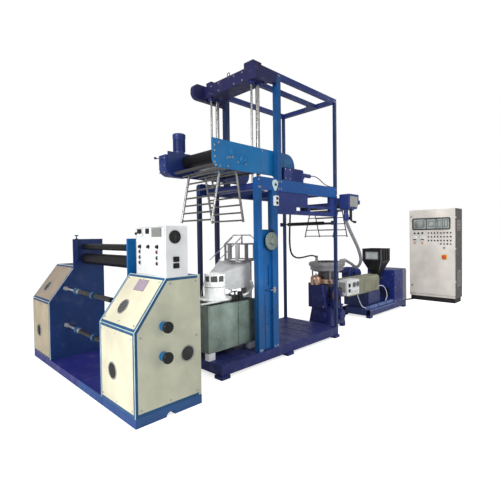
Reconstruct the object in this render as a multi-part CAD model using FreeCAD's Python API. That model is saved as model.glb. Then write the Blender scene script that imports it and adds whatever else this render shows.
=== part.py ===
import FreeCAD, Part
import math
import os

os.makedirs("parts", exist_ok=True)
V = FreeCAD.Vector

# Blown film line: a two-station winder, a haul-off tower over a water bath, an extruder, a cabinet.
# X runs along the line from the winder to the cabinet, Y along the rollers, Z up, floor at Z = 0.
# The origin is on the floor at the near left foot of the tower.

# Winder
WX = -1100.0          # front face
WY = -257.0           # near side
WD = 640.0            # depth along X
HW = 620.0            # width of one housing along Y
WGAP = 1388.0         # between the two housings, wall plates included
WALL = 20.0           # raised inner wall plate
WBASE = 80.0          # height of the base frame
WBEND = 750.0         # height where the front starts to slope
WTOP = 1150.0         # top of the housings
WSLANT = 293.0        # how far the slope leans back
RAISE_X0 = 273.0      # raised part of the wall plates, from the front face
RAISE_X1 = 629.0
RAISE_Z = 1477.0
PANEL = 3.0           # cream sheet panels
TRIM = 26.0           # edge strip left showing round each panel
VENT_R = 50.0
VENT_T = 6.0
LOW_VENT_Z = 370.0
VENT_IN = 380.0       # vents, from the near edge of each housing
SIDE_VENT = (493.0, 483.0)
TRAY = 8.0
RAIL = 60.0
NOTCH = (317.0, 42.0)
NOTCH_DROP = 6.0

# Winder rollers and shafts, as X and Z of the axis
UPPER_AXIS = (-700.0, 1385.0)
LOWER_AXIS = (-680.0, 1240.0)
UPPER_R = 35.0
LOWER_R = 65.0
JOURNAL = 12.5
FIT = 0.05            # running clearance of every journal
SEAT = 14.0           # bore depth in the wall plates
END_GAP = 12.0        # roller end to wall
SHAFT_AXES = ((-935.0, 900.0), (-935.0, 470.0))
SHAFT_R = 26.0
SHAFT_START = 90.0
CHUCK_R = 40.0
CHUCK_L = 34.0
CHUCK_Y = (870.0, 1320.0)
COLLAR_R = 24.0
ADJ_BACK = 90.0       # adjuster bar in front of the upper roller
ADJ_W = 28.0
ADJ_Z0 = 1215.0
ADJ_OUT = 16.0

# Control box on the near housing
BOX_D = 221.0
BOX_W = 497.0
BOX_H = 432.0
BOX_R = 6.0
KNOB_AT = ((256.0, 761.0), (251.0, 515.0))
KNOB_R = 38.0
KNOB_L = 92.0
KNOB_PIN = 9.0
KNOB_SEAT = 30.0

# Tower
TX = 2232.0           # length
TY = 990.0            # width
DECK = 150.0          # top of the base
DECK_T = 8.0
FOOT_H = 36.0
FOOT_W = 120.0
FOOT_OUT = 15.0
BASE_RAIL = 70.0
POST = 70.0
SLIM = 40.0
REAR = 50.0
TUBE = 5.0
LEG_A = 564.0
LEG_B = 812.0
LEG_B_W = 100.0
REAR_A = LEG_A - 109.0
REAR_B = LEG_B - 63.0
WEB_T = 8.0
WEB_TOP = 1560.0
SLIT = (60.0, 20.0, 900.0, 250.0)
UP_X = 921.0
MID_Z0 = 2020.0
MID_H = 146.0
BEAM_R = 40.0
CROSS_H = 75.0
HANG_Z = 1750.0
HANG_T = 50.0
CROSS_X = TX - 832.0   # centre cross member
DRIVE_X = (1050.0, 1440.0, 1612.0)
DRIVE_H = 160.0
DRIVE_Y = 35.0
DRIVE_Z = 2270.0
TOP_Z = 3433.0
TOP_H = 60.0
INNER_Y = 300.0
GUSSET = 170.0

# Guide rods and lift screws
ROD_X = 720.0
SCREW_X = 620.0
ROD_IN = 130.0        # rod rows, from the near and far faces of the tower
ROD_R = 24.0
SCREW_R = 13.0
ROD_SEAT = 40.0
GX0 = 560.0
GX1 = 780.0
G_DROP = 163.0        # underside of the gantry below the tower top
ARM_X = 385.0         # rounded end of the rear gantry arm
ARM_H = 190.0

# Haul-off carriage
PLATE = 15.0
PLATE_GAP = 5.0       # plate to the post it passes
CAR_X0 = -20.0
CAR_X1 = 1340.0
CAR_Z0 = 2210.0
CAR_H = 300.0
CORNER = 90.0
DRUM_L = 170.0
NIP_A = (250.0, 2400.0)
NIP_B = (402.0, 2335.0)
NIP_R = 80.0
NIP_PIN = 20.0
NIP_SEAT = 12.0
TIES = ((860.0, 2280.0), (1120.0, 2440.0), (60.0, 2250.0))
TIE_R = 18.0
LAD_Y = (200.0, 760.0)
LAD_R = 14.0
RUNG_R = 10.0
RUNGS = 7
LAD_TOP = 2200.0
LAD_BOT = 1670.0
LAD_X = ((180.0, 60.0), (424.0, 530.0))
GEAR_X = (-45.0, 290.0)
GEAR_Z = (2225.0, 2470.0)
GEAR_D = 150.0
MOTOR_X = 200.0
MOTOR_R = 68.0
MOTOR_H = 290.0

# Water bath, sizing ring, cowl and cage
BUB_X = 320.0
BUB_Y = 480.0
BATH_X = (-10.0, 700.0)
BATH_Y = (200.0, 790.0)
BATH_Z = (230.0, 740.0)
GLASS = 10.0
PAD = 90.0
SIZER_R = 125.0
SIZER_WALL = 10.0
SIZER_TOP = 960.0
WINDOW_TOP = 1030.0
BAR_T = 12.0
COWL_Y = (300.0, 655.0)
COWL_Z = 870.0
SHEET = 4.0
CAGE_X = 790.0
CAGE_Y = 500.0
CAGE_R = 225.0
CAGE_Z = (1182.0, 1395.0)
CAGE_TOP = 1505.0
SLATS = 12

# First nip over the die
RING_X = TX + 458.0  # die, air ring and first nip
ARM_L = 668.0
ARM_Z = 1960.0
ARM_T = 60.0
FIRST_R = 30.0
FIRST_PIN = 12.0
FIRST_Z = 1930.0
HANGER = 12.0
FRAME_Y = (230.0, 760.0)
FRAME_Z = (1880.0, 1450.0)
FRAME_TOP = 60.0
FRAME_BOT = 210.0
FRAME_RUNGS = 5
GUIDE_BACK = 60.0
GUIDE_Z = 1660.0
GUIDE_R = 26.0
GUIDE_PIN = 10.0
GUIDE_Y = (170.0, 830.0)

# Extruder
EX = RING_X + 927.0   # extruder base
EY = 204.0
EL = 1544.0
EW = 564.0
E_FOOT = 40.0
E_RAIL = 110.0
AXIS_Z = 600.0
BARREL_R = 45.0
COVER_X = (RING_X + 390.0, EX + 623.0)
COVER_W = 300.0
COVER_UP = 125.0
COVER_DOWN = 165.0
FAN_X = (RING_X + 80.0, RING_X + 470.0)
FAN_D = 170.0
FAN_H = 240.0
GEARBOX_X = EX + 1003.0
GEARBOX_Z = 780.0
HOP_X = GEARBOX_X - 190.0
HOP_W = 380.0
HOP_TOP = 1210.0
HOP_BEND = 975.0
HOP_NECK = 110.0
HOP_T = 6.0
DIE_R = 120.0
RING_Z = 900.0
RING_R = 290.0
RING_H = 150.0
RING_BORE = 90.0
RING_LEGS = (225.0, 345.0, 105.0)
STAND_W = 420.0
STAND_Z = 450.0
BLOW_X = EX + 283.0
BLOW_R = 150.0
BLOW_W = 140.0

# Control cabinet
CX = EX + EL + 939.0
CY = -459.0
CD = 450.0
CW = 953.0
CZ = 2018.0
PLINTH = 100.0
DOOR = 22.0
DOOR_GAP = 1.0
KNUCKLE = 8.0
HINGE_PIN = 4.0
HINGE_L = 28.0
HINGE_Z = (420.0, 1120.0, 1780.0)

# Hoses and cables, as the points of their routes
PIPE_R = 12.0
PIPE = (
    (CROSS_X + 25.0, 217.0, MID_Z0 - 0.4),
    (CROSS_X + 21.0, 217.0, 1790.0),
    (CROSS_X + 4.0, 217.0, 1560.0),
    (CROSS_X + 2.0, 220.0, 1370.0),
    (CROSS_X + 50.0, 232.0, 1235.0),
    (CROSS_X + 190.0, 262.0, 1175.0),
    (CROSS_X + 420.0, 330.0, 1165.0),
    (RING_X - 560.0, 425.0, 1178.0),
    (RING_X - 350.0, 490.0, 1168.0),
    (RING_X - 215.0, 533.0, 1135.0),
)
HOSE_R = 23.0
HOSE = (
    (RING_X - 342.0, -74.0, 1690.0),
    (RING_X - 310.0, -106.0, 1570.0),
    (RING_X - 262.0, -140.0, 1452.0),
    (RING_X - 167.0, -178.0, 1271.0),
    (RING_X, -133.0, 1085.0),
    (RING_X + 178.0, 42.0, 950.0),
    (RING_X + 236.0, 190.0, 1030.0),
    (RING_X + 222.0, 272.0, 1068.0),
)
LEAD_R = 6.0
LEAD_X = DRIVE_X[2] + 1.4
LEAD_L = TX - SLIM - 0.8 - LEAD_X
DRIVE_LEAD = (
    (LEAD_X, 35.0, DRIVE_Z),
    (LEAD_X + 0.133 * LEAD_L, 35.0, DRIVE_Z + 16.0),
    (LEAD_X + 0.340 * LEAD_L, 36.0, DRIVE_Z - 2.0),
    (LEAD_X + 0.531 * LEAD_L, 35.0, DRIVE_Z - 56.0),
    (LEAD_X + 0.704 * LEAD_L, 36.0, DRIVE_Z - 89.0),
    (LEAD_X + 0.885 * LEAD_L, 35.0, DRIVE_Z - 96.0),
    (LEAD_X + LEAD_L, 30.0, DRIVE_Z - 94.0),
)
LOOP_A = (
    (EX - 189.0, 348.0, 433.0),
    (EX - 177.0, 322.0, 350.0),
    (EX - 162.0, 296.0, 262.0),
    (EX - 117.0, 272.0, 206.0),
    (EX - 42.0, 258.0, 188.0),
)
LOOP_B = (
    (COVER_X[1] + 1.5, 350.0, 500.0),
    (COVER_X[1] + 90.0, 335.0, 520.0),
    (COVER_X[1] + 190.0, 305.0, 455.0),
    (COVER_X[1] + 215.0, 280.0, 335.0),
    (COVER_X[1] + 150.0, 258.0, 253.0),
    (COVER_X[1] + 70.0, 248.0, 227.0),
)
FLOOR_LEAD_R = 14.0
FLOOR_LEAD = (
    (EX + EL + 2.0, 560.0, 93.0),
    (EX + EL + 169.0, 558.0, 78.0),
    (EX + EL + 399.0, 545.0, 18.0),
    (CX - 240.0, 500.0, 15.0),
    (CX - 80.0, 440.0, 15.0),
    (CX + 15.8, 412.0, 15.0),
)

# Worked-out places
WX1 = WX + WD
NEAR_IN = WY + HW
FAR_IN = NEAR_IN + WGAP
WY1 = FAR_IN + HW
IN0 = NEAR_IN + WALL
IN1 = FAR_IN - WALL
MID_Z1 = MID_Z0 + MID_H
POST_TOP = TOP_Z - TOP_H
ROD_Y = (ROD_IN, TY - ROD_IN)
G_Z0 = TOP_Z - G_DROP
PLATE_Y0 = POST + PLATE_GAP
PLATE_Y1 = TY - POST - PLATE_GAP
CAR_Z1 = CAR_Z0 + CAR_H
AXIS_Y = EY + EW / 2
ARM_X1 = TX + ARM_L
GUIDE_X = TX - SLIM - GUIDE_BACK


def save(name, shape):
    shape.exportStep("parts/" + name + ".step")


def save_all(name, shapes):
    save(name, Part.makeCompound(shapes))


def block(x0, x1, y0, y1, z0, z1):
    return Part.makeBox(x1 - x0, y1 - y0, z1 - z0, V(x0, y0, z0))


def x_rod(y, z, x0, x1, radius):
    return Part.makeCylinder(radius, x1 - x0, V(x0, y, z), V(1, 0, 0))


def y_rod(x, z, y0, y1, radius):
    return Part.makeCylinder(radius, y1 - y0, V(x, y0, z), V(0, 1, 0))


def z_rod(x, y, z0, z1, radius):
    return Part.makeCylinder(radius, z1 - z0, V(x, y, z0), V(0, 0, 1))


def bar(a, b, radius):
    d = V(*b).sub(V(*a))
    return Part.makeCylinder(radius, d.Length, V(*a), d)


def fuse(parts):
    if len(parts) == 1:
        return parts[0]
    return parts[0].multiFuse(parts[1:]).removeSplitter()


def cut(shape, tools):
    return shape.cut(Part.makeCompound(tools))


def prism(points, y0, y1):
    """A closed outline of X and Z, drawn out along Y."""
    corners = [V(x, y0, z) for x, z in points]
    return Part.Face(Part.makePolygon(corners + corners[:1])).extrude(V(0, y1 - y0, 0))


def turned(points, x, y, axis):
    """An outline of radius and distance, turned about an axis that starts at x, y."""
    if axis == "z":
        corners = [V(x + r, y, h) for r, h in points]
        return Part.Face(Part.makePolygon(corners + corners[:1])).revolve(V(x, y, 0), V(0, 0, 1), 360)
    corners = [V(x + r, h, y) for r, h in points]
    return Part.Face(Part.makePolygon(corners + corners[:1])).revolve(V(x, 0, y), V(0, 1, 0), 360)


def loft(low, high):
    """A solid between two closed outlines of corner points."""
    wires = [Part.makePolygon([V(*p) for p in w] + [V(*w[0])]) for w in (low, high)]
    return Part.makeLoft(wires, True, True)


def square(x, y, z, side):
    h = side / 2
    return [(x - h, y - h, z), (x + h, y - h, z), (x + h, y + h, z), (x - h, y + h, z)]


def tube_x(x0, x1, y0, y1, z0, z1, t=TUBE):
    return block(x0, x1, y0, y1, z0, z1).cut(block(x0 - 1, x1 + 1, y0 + t, y1 - t, z0 + t, z1 - t))


def tube_y(x0, x1, y0, y1, z0, z1, t=TUBE):
    return block(x0, x1, y0, y1, z0, z1).cut(block(x0 + t, x1 - t, y0 - 1, y1 + 1, z0 + t, z1 - t))


def tube_z(x0, x1, y0, y1, z0, z1, t=TUBE):
    return block(x0, x1, y0, y1, z0, z1).cut(block(x0 + t, x1 - t, y0 + t, y1 - t, z0 - 1, z1 + 1))


def socket(end, before, radius):
    """The hole that a hose end sits in."""
    away = V(*before).sub(V(*end))
    away.normalize()
    return Part.makeCylinder(radius + FIT, 60, V(*end), away)


def rounded(shape, radius, pick):
    return shape.makeFillet(radius, [e for e in shape.Edges if pick(e.BoundBox)])


# Winder housings: a sloped desk section with a raised wall plate on the inner side.
SLOPE_L = math.hypot(WSLANT, WTOP - WBEND)
UX = WSLANT / SLOPE_L
UZ = (WTOP - WBEND) / SLOPE_L
DESK = [(WX, WBASE), (WX1, WBASE), (WX1, WTOP), (WX + WSLANT, WTOP), (WX, WBEND)]
RAISED = [
    (WX, WBASE),
    (WX1, WBASE),
    (WX1, WTOP),
    (WX + RAISE_X1, WTOP),
    (WX + RAISE_X1, RAISE_Z),
    (WX + RAISE_X0, RAISE_Z),
    (WX + RAISE_X0, WBEND + RAISE_X0 * UZ / UX),
    (WX, WBEND),
]
KNOBS = [(WX + x, z) for x, z in KNOB_AT]


def journal_bores(y):
    axes = (UPPER_AXIS, LOWER_AXIS) + SHAFT_AXES
    return [y_rod(x, z, y, y + SEAT, JOURNAL + FIT) for x, z in axes]


def knob_bores():
    return [y_rod(x, z, WY - 1, WY + KNOB_SEAT, KNOB_PIN + FIT) for x, z in KNOBS]


def winder_housings():
    near = fuse([prism(DESK, WY + PANEL, NEAR_IN), prism(RAISED, NEAR_IN, IN0)])
    save("near_housing", cut(near, journal_bores(IN0 - SEAT) + knob_bores()))
    far = fuse([prism(DESK, FAR_IN, WY1 - PANEL), prism(RAISED, IN1, FAR_IN)])
    save_all("far_housing", [cut(far, journal_bores(IN1)), winder_adjuster()])


def sheets(y0, y1, side_y):
    """The cream panels of one housing: lower front, slope, side and back."""
    a = (WX + UX * TRIM, WBEND + UZ * TRIM)
    b = (WX + WSLANT - UX * TRIM, WTOP - UZ * TRIM)
    out = (-UZ * PANEL, UX * PANEL)
    lower = block(WX - PANEL, WX, y0 + TRIM, y1 - TRIM, WBASE + TRIM, WBEND - TRIM)
    slope = prism(
        [a, b, (b[0] + out[0], b[1] + out[1]), (a[0] + out[0], a[1] + out[1])],
        y0 + TRIM,
        y1 - TRIM,
    )
    inset = [
        (WX + TRIM, WBASE + TRIM),
        (WX1 - TRIM, WBASE + TRIM),
        (WX1 - TRIM, WTOP - TRIM),
        (WX + WSLANT + TRIM / 2, WTOP - TRIM),
        (WX + TRIM, WBEND - TRIM / 2),
    ]
    back = block(WX1, WX1 + PANEL, y0 + TRIM, y1 - TRIM, WBASE + TRIM, WTOP - TRIM)
    return [lower, slope, prism(inset, side_y, side_y + PANEL), back]


def vents(y0):
    """A round vent on the lower front and one on the slope."""
    y = y0 + VENT_IN
    low = x_rod(y, LOW_VENT_Z, WX - PANEL - VENT_T, WX - PANEL, VENT_R)
    t = SLOPE_L * 0.36
    p = V(WX + UX * t - UZ * PANEL, y, WBEND + UZ * t + UX * PANEL)
    return [low, Part.makeCylinder(VENT_R, VENT_T, p, V(-UZ, 0, UX))]


def winder_panels():
    near = sheets(WY, NEAR_IN, WY)
    near[2] = cut(near[2], knob_bores())
    save_all("housing_panels", near + sheets(FAR_IN, WY1, WY1 - PANEL))
    side = y_rod(WX + SIDE_VENT[0], SIDE_VENT[1], WY - VENT_T, WY, VENT_R)
    save_all("round_vents", vents(WY) + vents(FAR_IN) + [side])


def winder_base():
    base = block(WX, WX1, WY, WY1, 0, WBASE)
    pocket = block(WX + RAIL, WX1 - RAIL, WY + RAIL, WY1 - RAIL, -1, WBASE - TRAY)
    notch = y_rod(WX + NOTCH[0], -NOTCH_DROP, WY - 1, WY + RAIL + 1, NOTCH[1])
    save("winder_base", cut(base, [pocket, notch]))


def winder_roller(name, axis, radius, y0, y1, extra):
    x, z = axis
    pin = y_rod(x, z, IN0 - SEAT + 1, IN1 + SEAT - 1, JOURNAL)
    save(name, fuse([y_rod(x, z, y0, y1, radius), pin] + extra))


def winder_rollers():
    winder_roller("upper_roller", UPPER_AXIS, UPPER_R, IN0 + END_GAP, IN1 - END_GAP, [])
    winder_roller("lower_roller", LOWER_AXIS, LOWER_R, IN0 + END_GAP, IN1 - END_GAP, [])
    for name, (x, z) in zip(("upper_winding_shaft", "lower_winding_shaft"), SHAFT_AXES):
        collars = [y_rod(x, z, y, y + CHUCK_L, CHUCK_R) for y in CHUCK_Y]
        collars.append(y_rod(x, z, IN1 - 60, IN1 - 20, COLLAR_R))
        winder_roller(name, (x, z), SHAFT_R, IN0 + SHAFT_START, CHUCK_Y[1] + CHUCK_L, collars)


def winder_adjuster():
    x = UPPER_AXIS[0] - ADJ_BACK
    y = IN1 - ADJ_OUT
    slide = block(x - ADJ_W / 2, x + ADJ_W / 2, y, IN1, ADJ_Z0, RAISE_Z + 8)
    screw = z_rod(x, y + ADJ_OUT / 2, RAISE_Z + 8, RAISE_Z + 34, 6)
    knob = z_rod(x, y + ADJ_OUT / 2, RAISE_Z + 34, RAISE_Z + 48, 20)
    return fuse([slide, screw, knob])


def control_box():
    x = WX + WSLANT
    y1 = WY + BOX_W
    box = block(x, x + BOX_D, WY, y1, WTOP, WTOP + BOX_H)
    top = WTOP + BOX_H - 0.1
    save("control_box", rounded(box, BOX_R, lambda b: b.ZMin > top or b.ZLength > BOX_H - 1))
    z = WTOP + BOX_H
    parts = [
        block(x - 6, x, y1 - 135, y1 - 40, z - 82, z - 16),
        block(x - 4, x, y1 - 240, y1 - 180, z - 62, z - 20),
    ]
    parts.append(block(x - 4, x, y1 - 440, y1 - 280, z - 92, z - 16))
    parts += [x_rod(y1 - s, z - 177, x - 16, x, 13) for s in (80, 225, 370)]
    parts += [x_rod(y1 - s, z - h, x - 12, x, 15) for s in (75, 365) for h in (222, 272, 320)]
    parts.append(y_rod(x + 90, z - 94, WY - 10, WY, 46))
    parts += [block(x + 70, x + 130, WY - 8, WY, z - h - 22, z - h + 22) for h in (282, 337)]
    save_all("box_controls", parts)


def hand_knobs():
    gap = 0.3
    for name, (x, z) in zip(("upper_knob", "lower_knob"), KNOBS):
        outline = [
            (0, WY - KNOB_L),
            (16, WY - KNOB_L),
            (22, WY - KNOB_L + 6),
            (22, WY - KNOB_L + 18),
            (11, WY - KNOB_L + 22),
            (11, WY - 58),
            (KNOB_R, WY - 46),
            (KNOB_R, WY - 6),
            (KNOB_R - 4, WY - gap),
            (KNOB_PIN, WY - gap),
            (KNOB_PIN, WY + KNOB_SEAT - 1),
            (0, WY + KNOB_SEAT - 1),
        ]
        save(name, turned(outline, x, z, "y"))


# Tower
def tower_base():
    under = DECK - DECK_T
    y_ends = ((0, BASE_RAIL), (TY - BASE_RAIL, TY))
    parts = [block(0, TX, a, b, FOOT_H, under) for a, b in y_ends]
    parts += [
        block(x, x + BASE_RAIL, BASE_RAIL, TY - BASE_RAIL, FOOT_H, under)
        for x in (0, TX / 3, TX - BASE_RAIL)
    ]
    parts.append(block(0, TX, 0, TY, under, DECK))
    for x in (-FOOT_OUT, TX / 2 - FOOT_W / 2, TX + FOOT_OUT - FOOT_W):
        for y in (-FOOT_OUT, TY + FOOT_OUT - FOOT_W):
            parts.append(block(x, x + FOOT_W, y, y + FOOT_W, 0, FOOT_H))
    save("tower_base", fuse(parts))


def twin_legs():
    """Two legs joined by a web plate with a slit in front, two slim posts behind."""
    a = tube_z(LEG_A, LEG_A + POST, 0, POST, DECK, MID_Z0)
    b = tube_z(LEG_B, LEG_B + LEG_B_W, 0, POST, DECK, MID_Z0)
    yc = POST / 2
    web = block(LEG_A + POST, LEG_B, yc - WEB_T / 2, yc + WEB_T / 2, DECK, WEB_TOP)
    x = LEG_B - SLIT[0]
    slit = block(x, x + SLIT[1], yc - WEB_T, yc + WEB_T, SLIT[2], SLIT[2] + SLIT[3])
    legs = [fuse([a, b, web.cut(slit)])]
    legs += [tube_z(x, x + REAR, TY - REAR, TY, DECK, MID_Z0) for x in (REAR_A, REAR_B)]
    save_all("twin_legs", legs)


def upper_frame():
    pin = GUIDE_PIN + FIT
    posts = [tube_z(UP_X, UP_X + POST, y, y + POST, MID_Z1, POST_TOP) for y in (0, TY - POST)]
    for y0, yb in ((0, SLIM - 30), (TY - SLIM, TY - SLIM + 10)):
        post = tube_z(TX - SLIM, TX, y0, y0 + SLIM, DECK, POST_TOP)
        ear = block(GUIDE_X - 20, TX - SLIM, yb, yb + 20, GUIDE_Z - 30, GUIDE_Z + 30)
        posts.append(fuse([post, ear.cut(y_rod(GUIDE_X, GUIDE_Z, yb - 1, yb + 21, pin))]))
    save_all("tower_posts", posts)
    bars = [block(UP_X, TX, y, y + TOP_H, POST_TOP, TOP_Z) for y in (0, TY - TOP_H)]
    bars += [block(x, x + TOP_H, TOP_H, TY - TOP_H, POST_TOP, TOP_Z) for x in (UP_X, TX - TOP_H)]
    bars.append(block(UP_X + TOP_H, TX - TOP_H, INNER_Y, INNER_Y + TOP_H, POST_TOP, TOP_Z - 10))
    x = TX - TOP_H
    y = INNER_Y + TOP_H
    plate = Part.makePolygon(
        [V(x, y, POST_TOP), V(x - GUSSET, y, POST_TOP), V(x, y + GUSSET, POST_TOP), V(x, y, POST_TOP)],
    )
    bars.append(Part.Face(plate).extrude(V(0, 0, 10)))
    save("top_frame", fuse(bars))


def mid_frame():
    beams = []
    for x0, y0 in ((LEG_A, 0), (REAR_A, TY - POST)):
        b = block(x0, TX - SLIM, y0, y0 + POST, MID_Z0, MID_Z1)
        beams.append(rounded(b, BEAM_R, lambda e: e.XMax < x0 + 0.1 and e.ZMin > MID_Z1 - 0.1))
    save_all("mid_beams", beams)
    left = [block(LEG_A, LEG_A + POST, POST, TY - POST, MID_Z0, MID_Z0 + CROSS_H)]
    holes = []
    for y0, y1, y in ((POST, ROD_Y[0] + 40, ROD_Y[0]), (ROD_Y[1] - 40, TY - POST, ROD_Y[1])):
        left.append(block(LEG_A + POST, ROD_X + 50, y0, y1, MID_Z0, MID_Z0 + CROSS_H))
        holes.append(z_rod(ROD_X, y, MID_Z0 + 20, MID_Z1, ROD_R))
        holes.append(z_rod(SCREW_X, y, MID_Z0 + 20, MID_Z1, SCREW_R))
    right = tube_y(TX - SLIM, TX, SLIM, TY - SLIM, MID_Z0 + 40, MID_Z1)
    centre = tube_y(CROSS_X, CROSS_X + 50, POST, TY - POST, MID_Z0, MID_Z0 + CROSS_H)
    parts = [cut(fuse(left), holes), right, centre]
    x0 = LEG_B + LEG_B_W
    y0 = (POST - HANG_T) / 2
    apron = block(x0, TX - SLIM, y0, y0 + HANG_T, HANG_Z, MID_Z0)
    low = (HANG_Z + 50, HANG_Z + 100)
    windows = [
        (TX - 702, TX - 162, HANG_Z + 130, MID_Z0 + 1),
        (TX - 942, TX - 692) + low,
        (TX - 642, TX - 162) + low,
    ]
    parts.append(cut(apron, [block(a, b, -1, POST, c, d) for a, b, c, d in windows]))
    z1 = MID_Z1 + DRIVE_H
    drive = block(DRIVE_X[0], DRIVE_X[1], 8, 62, MID_Z1, z1)
    drive = rounded(drive, 25, lambda e: e.YLength > 50 and e.ZMin > z1 - 1)
    parts.append(fuse([drive, x_rod(DRIVE_Y, DRIVE_Z, DRIVE_X[1] - 20, DRIVE_X[2], 26)]))
    save_all("mid_cross_frame", parts)


def gantry():
    """Two arms off the tower top and a cross beam that holds the guide rods and screws."""
    under = TOP_Z - ARM_H
    rear = block(ARM_X, UP_X, TY - POST, TY, under, TOP_Z)
    rear = rounded(rear, ARM_H * 0.42, lambda b: b.XMax < ARM_X + 0.1 and b.YLength > 1)
    near = prism([(GX0, G_Z0), (UP_X, POST_TOP - 70), (UP_X, TOP_Z), (GX0, TOP_Z)], 0, POST)
    beam = block(GX0, GX1, POST, TY - POST, G_Z0, TOP_Z - 13)
    holes = []
    for y in ROD_Y:
        holes.append(z_rod(ROD_X, y, G_Z0 - 1, G_Z0 + ROD_SEAT, ROD_R))
        holes.append(z_rod(SCREW_X, y, G_Z0 - 1, G_Z0 + ROD_SEAT, SCREW_R))
    top = TOP_Z - 13
    drive = [
        block(SCREW_X - 40, ROD_X, 60, 210, top, top + 75),
        x_rod(135, top + 40, ROD_X, ROD_X + 130, 38),
    ]
    drive.append(block(SCREW_X - 40, SCREW_X + 40, ROD_Y[1] - 50, ROD_Y[1] + 50, top, top + 50))
    drive.append(y_rod(SCREW_X, top + 25, 210, ROD_Y[1] - 50, 12))
    save("rod_gantry", fuse([cut(beam, holes), rear, near] + drive))
    ends = (MID_Z0 + 20, G_Z0 + ROD_SEAT)
    rods = [z_rod(ROD_X, y, ends[0], ends[1], ROD_R) for y in ROD_Y]
    rods += [z_rod(SCREW_X, y, ends[0], ends[1], SCREW_R) for y in ROD_Y]
    save_all("guide_rods", rods)


# Haul-off carriage
def side_plate(y):
    r = CAR_H / 2
    plate = fuse(
        [
            block(CAR_X0, CAR_X1 - r, y, y + PLATE, CAR_Z0, CAR_Z1),
            y_rod(CAR_X1 - r, CAR_Z0 + r, y, y + PLATE, r),
        ],
    )
    return rounded(plate, CORNER, lambda b: b.XMax < CAR_X0 + 0.1 and b.YLength > 1 and b.ZMax < CAR_Z0 + 1)


def carriage():
    in0 = PLATE_Y0 + PLATE
    in1 = PLATE_Y1 - PLATE
    r = CAR_H / 2
    parts = [side_plate(PLATE_Y0), side_plate(in1)]
    parts += [y_rod(x, z, in0, in1, TIE_R) for x, z in TIES]
    parts.append(y_rod(CAR_X1 - r, CAR_Z0 + r, in0, in0 + DRUM_L, r - 15))
    for y0, y1 in ((in0, ROD_Y[0] + 45), (ROD_Y[1] - 45, in1)):
        parts.append(block(SCREW_X - 60, ROD_X + 60, y0, y1, CAR_Z0 + 70, CAR_Z1 - 30))
    holes = []
    for y in ROD_Y:
        holes.append(z_rod(ROD_X, y, CAR_Z0, CAR_Z1, ROD_R + FIT))
        holes.append(z_rod(SCREW_X, y, CAR_Z0, CAR_Z1, SCREW_R + FIT))
    for x, z in (NIP_A, NIP_B):
        holes.append(y_rod(x, z, in0 - NIP_SEAT, in0 + 1, NIP_PIN + FIT))
        holes.append(y_rod(x, z, in1 - 1, in1 + NIP_SEAT, NIP_PIN + FIT))
    save("carriage_frame", cut(fuse(parts), holes))
    for name, (x, z) in zip(("rubber_nip_roller", "steel_nip_roller"), (NIP_A, NIP_B)):
        pin = y_rod(x, z, in0 - NIP_SEAT + 1, in1 + NIP_SEAT - 1, NIP_PIN)
        save(name, fuse([y_rod(x, z, in0 + END_GAP, in1 - END_GAP, NIP_R), pin]))
    y1 = PLATE_Y1 + GEAR_D
    gear = block(GEAR_X[0], GEAR_X[1], PLATE_Y1, y1, GEAR_Z[0], GEAR_Z[1])
    gear = rounded(gear, 100, lambda b: b.XMax < GEAR_X[0] + 1 and b.ZMax < GEAR_Z[0] + 1)
    yc = PLATE_Y1 + GEAR_D / 2
    rod = x_rod(yc, GEAR_Z[1] - 50, GEAR_X[0] - 85, GEAR_X[0], 5)
    grip = x_rod(yc, GEAR_Z[1] - 50, GEAR_X[0] - 105, GEAR_X[0] - 85, 14)
    z = GEAR_Z[1]
    r = MOTOR_R
    h = MOTOR_H
    outline = [(0, z), (r + 7, z), (r + 7, z + 14), (r, z + 20), (r, z + h - 80), (r + 8, z + h - 72)]
    outline += [(r + 8, z + h - 12), (r - 8, z + h), (0, z + h)]
    save("carriage_drive", fuse([gear, rod, grip, turned(outline, MOTOR_X, yc, "z")]))


def collapsing_frame():
    """Two ladders of bright tube in an A, hung from the carriage plates."""
    pitch = (LAD_TOP - LAD_BOT) / (RUNGS - 1)
    over = 20
    ladders = []
    for top, low in LAD_X:
        parts = [bar((top, y, LAD_TOP + over), (low, y, LAD_BOT - over), LAD_R) for y in LAD_Y]
        for i in range(RUNGS):
            z = LAD_TOP - i * pitch
            t = (LAD_TOP + over - z) / (LAD_TOP - LAD_BOT + 2 * over)
            parts.append(y_rod(top + (low - top) * t, z, LAD_Y[0], LAD_Y[1], RUNG_R))
        parts.append(y_rod(top, CAR_Z0 + 18, PLATE_Y0 + PLATE, PLATE_Y1 - PLATE, LAD_R))
        ladders.append(fuse(parts))
    save_all("collapsing_frame", ladders)


def tower_fittings():
    xc = LEG_B - 26
    disc = fuse([y_rod(xc, 1424, -16, 0, 105), y_rod(xc, 1424, -40, -16, 28)])
    xl = LEG_B + LEG_B_W / 2
    z = MID_Z0 + 85
    drop = fuse(
        [
            y_rod(xl, z, -12, 0, 45),
            prism([(xl - 40, z - 20), (xl + 40, z - 20), (xl + 9, z - 85), (xl - 9, z - 85)], -12, 0),
        ],
    )
    box = block(xl - 28, xl + 32, -32, 0, MID_Z0 - 180, MID_Z0 - 60)
    save_all("post_fittings", [disc, drop, box.makeFillet(5, box.Edges)])


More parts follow.
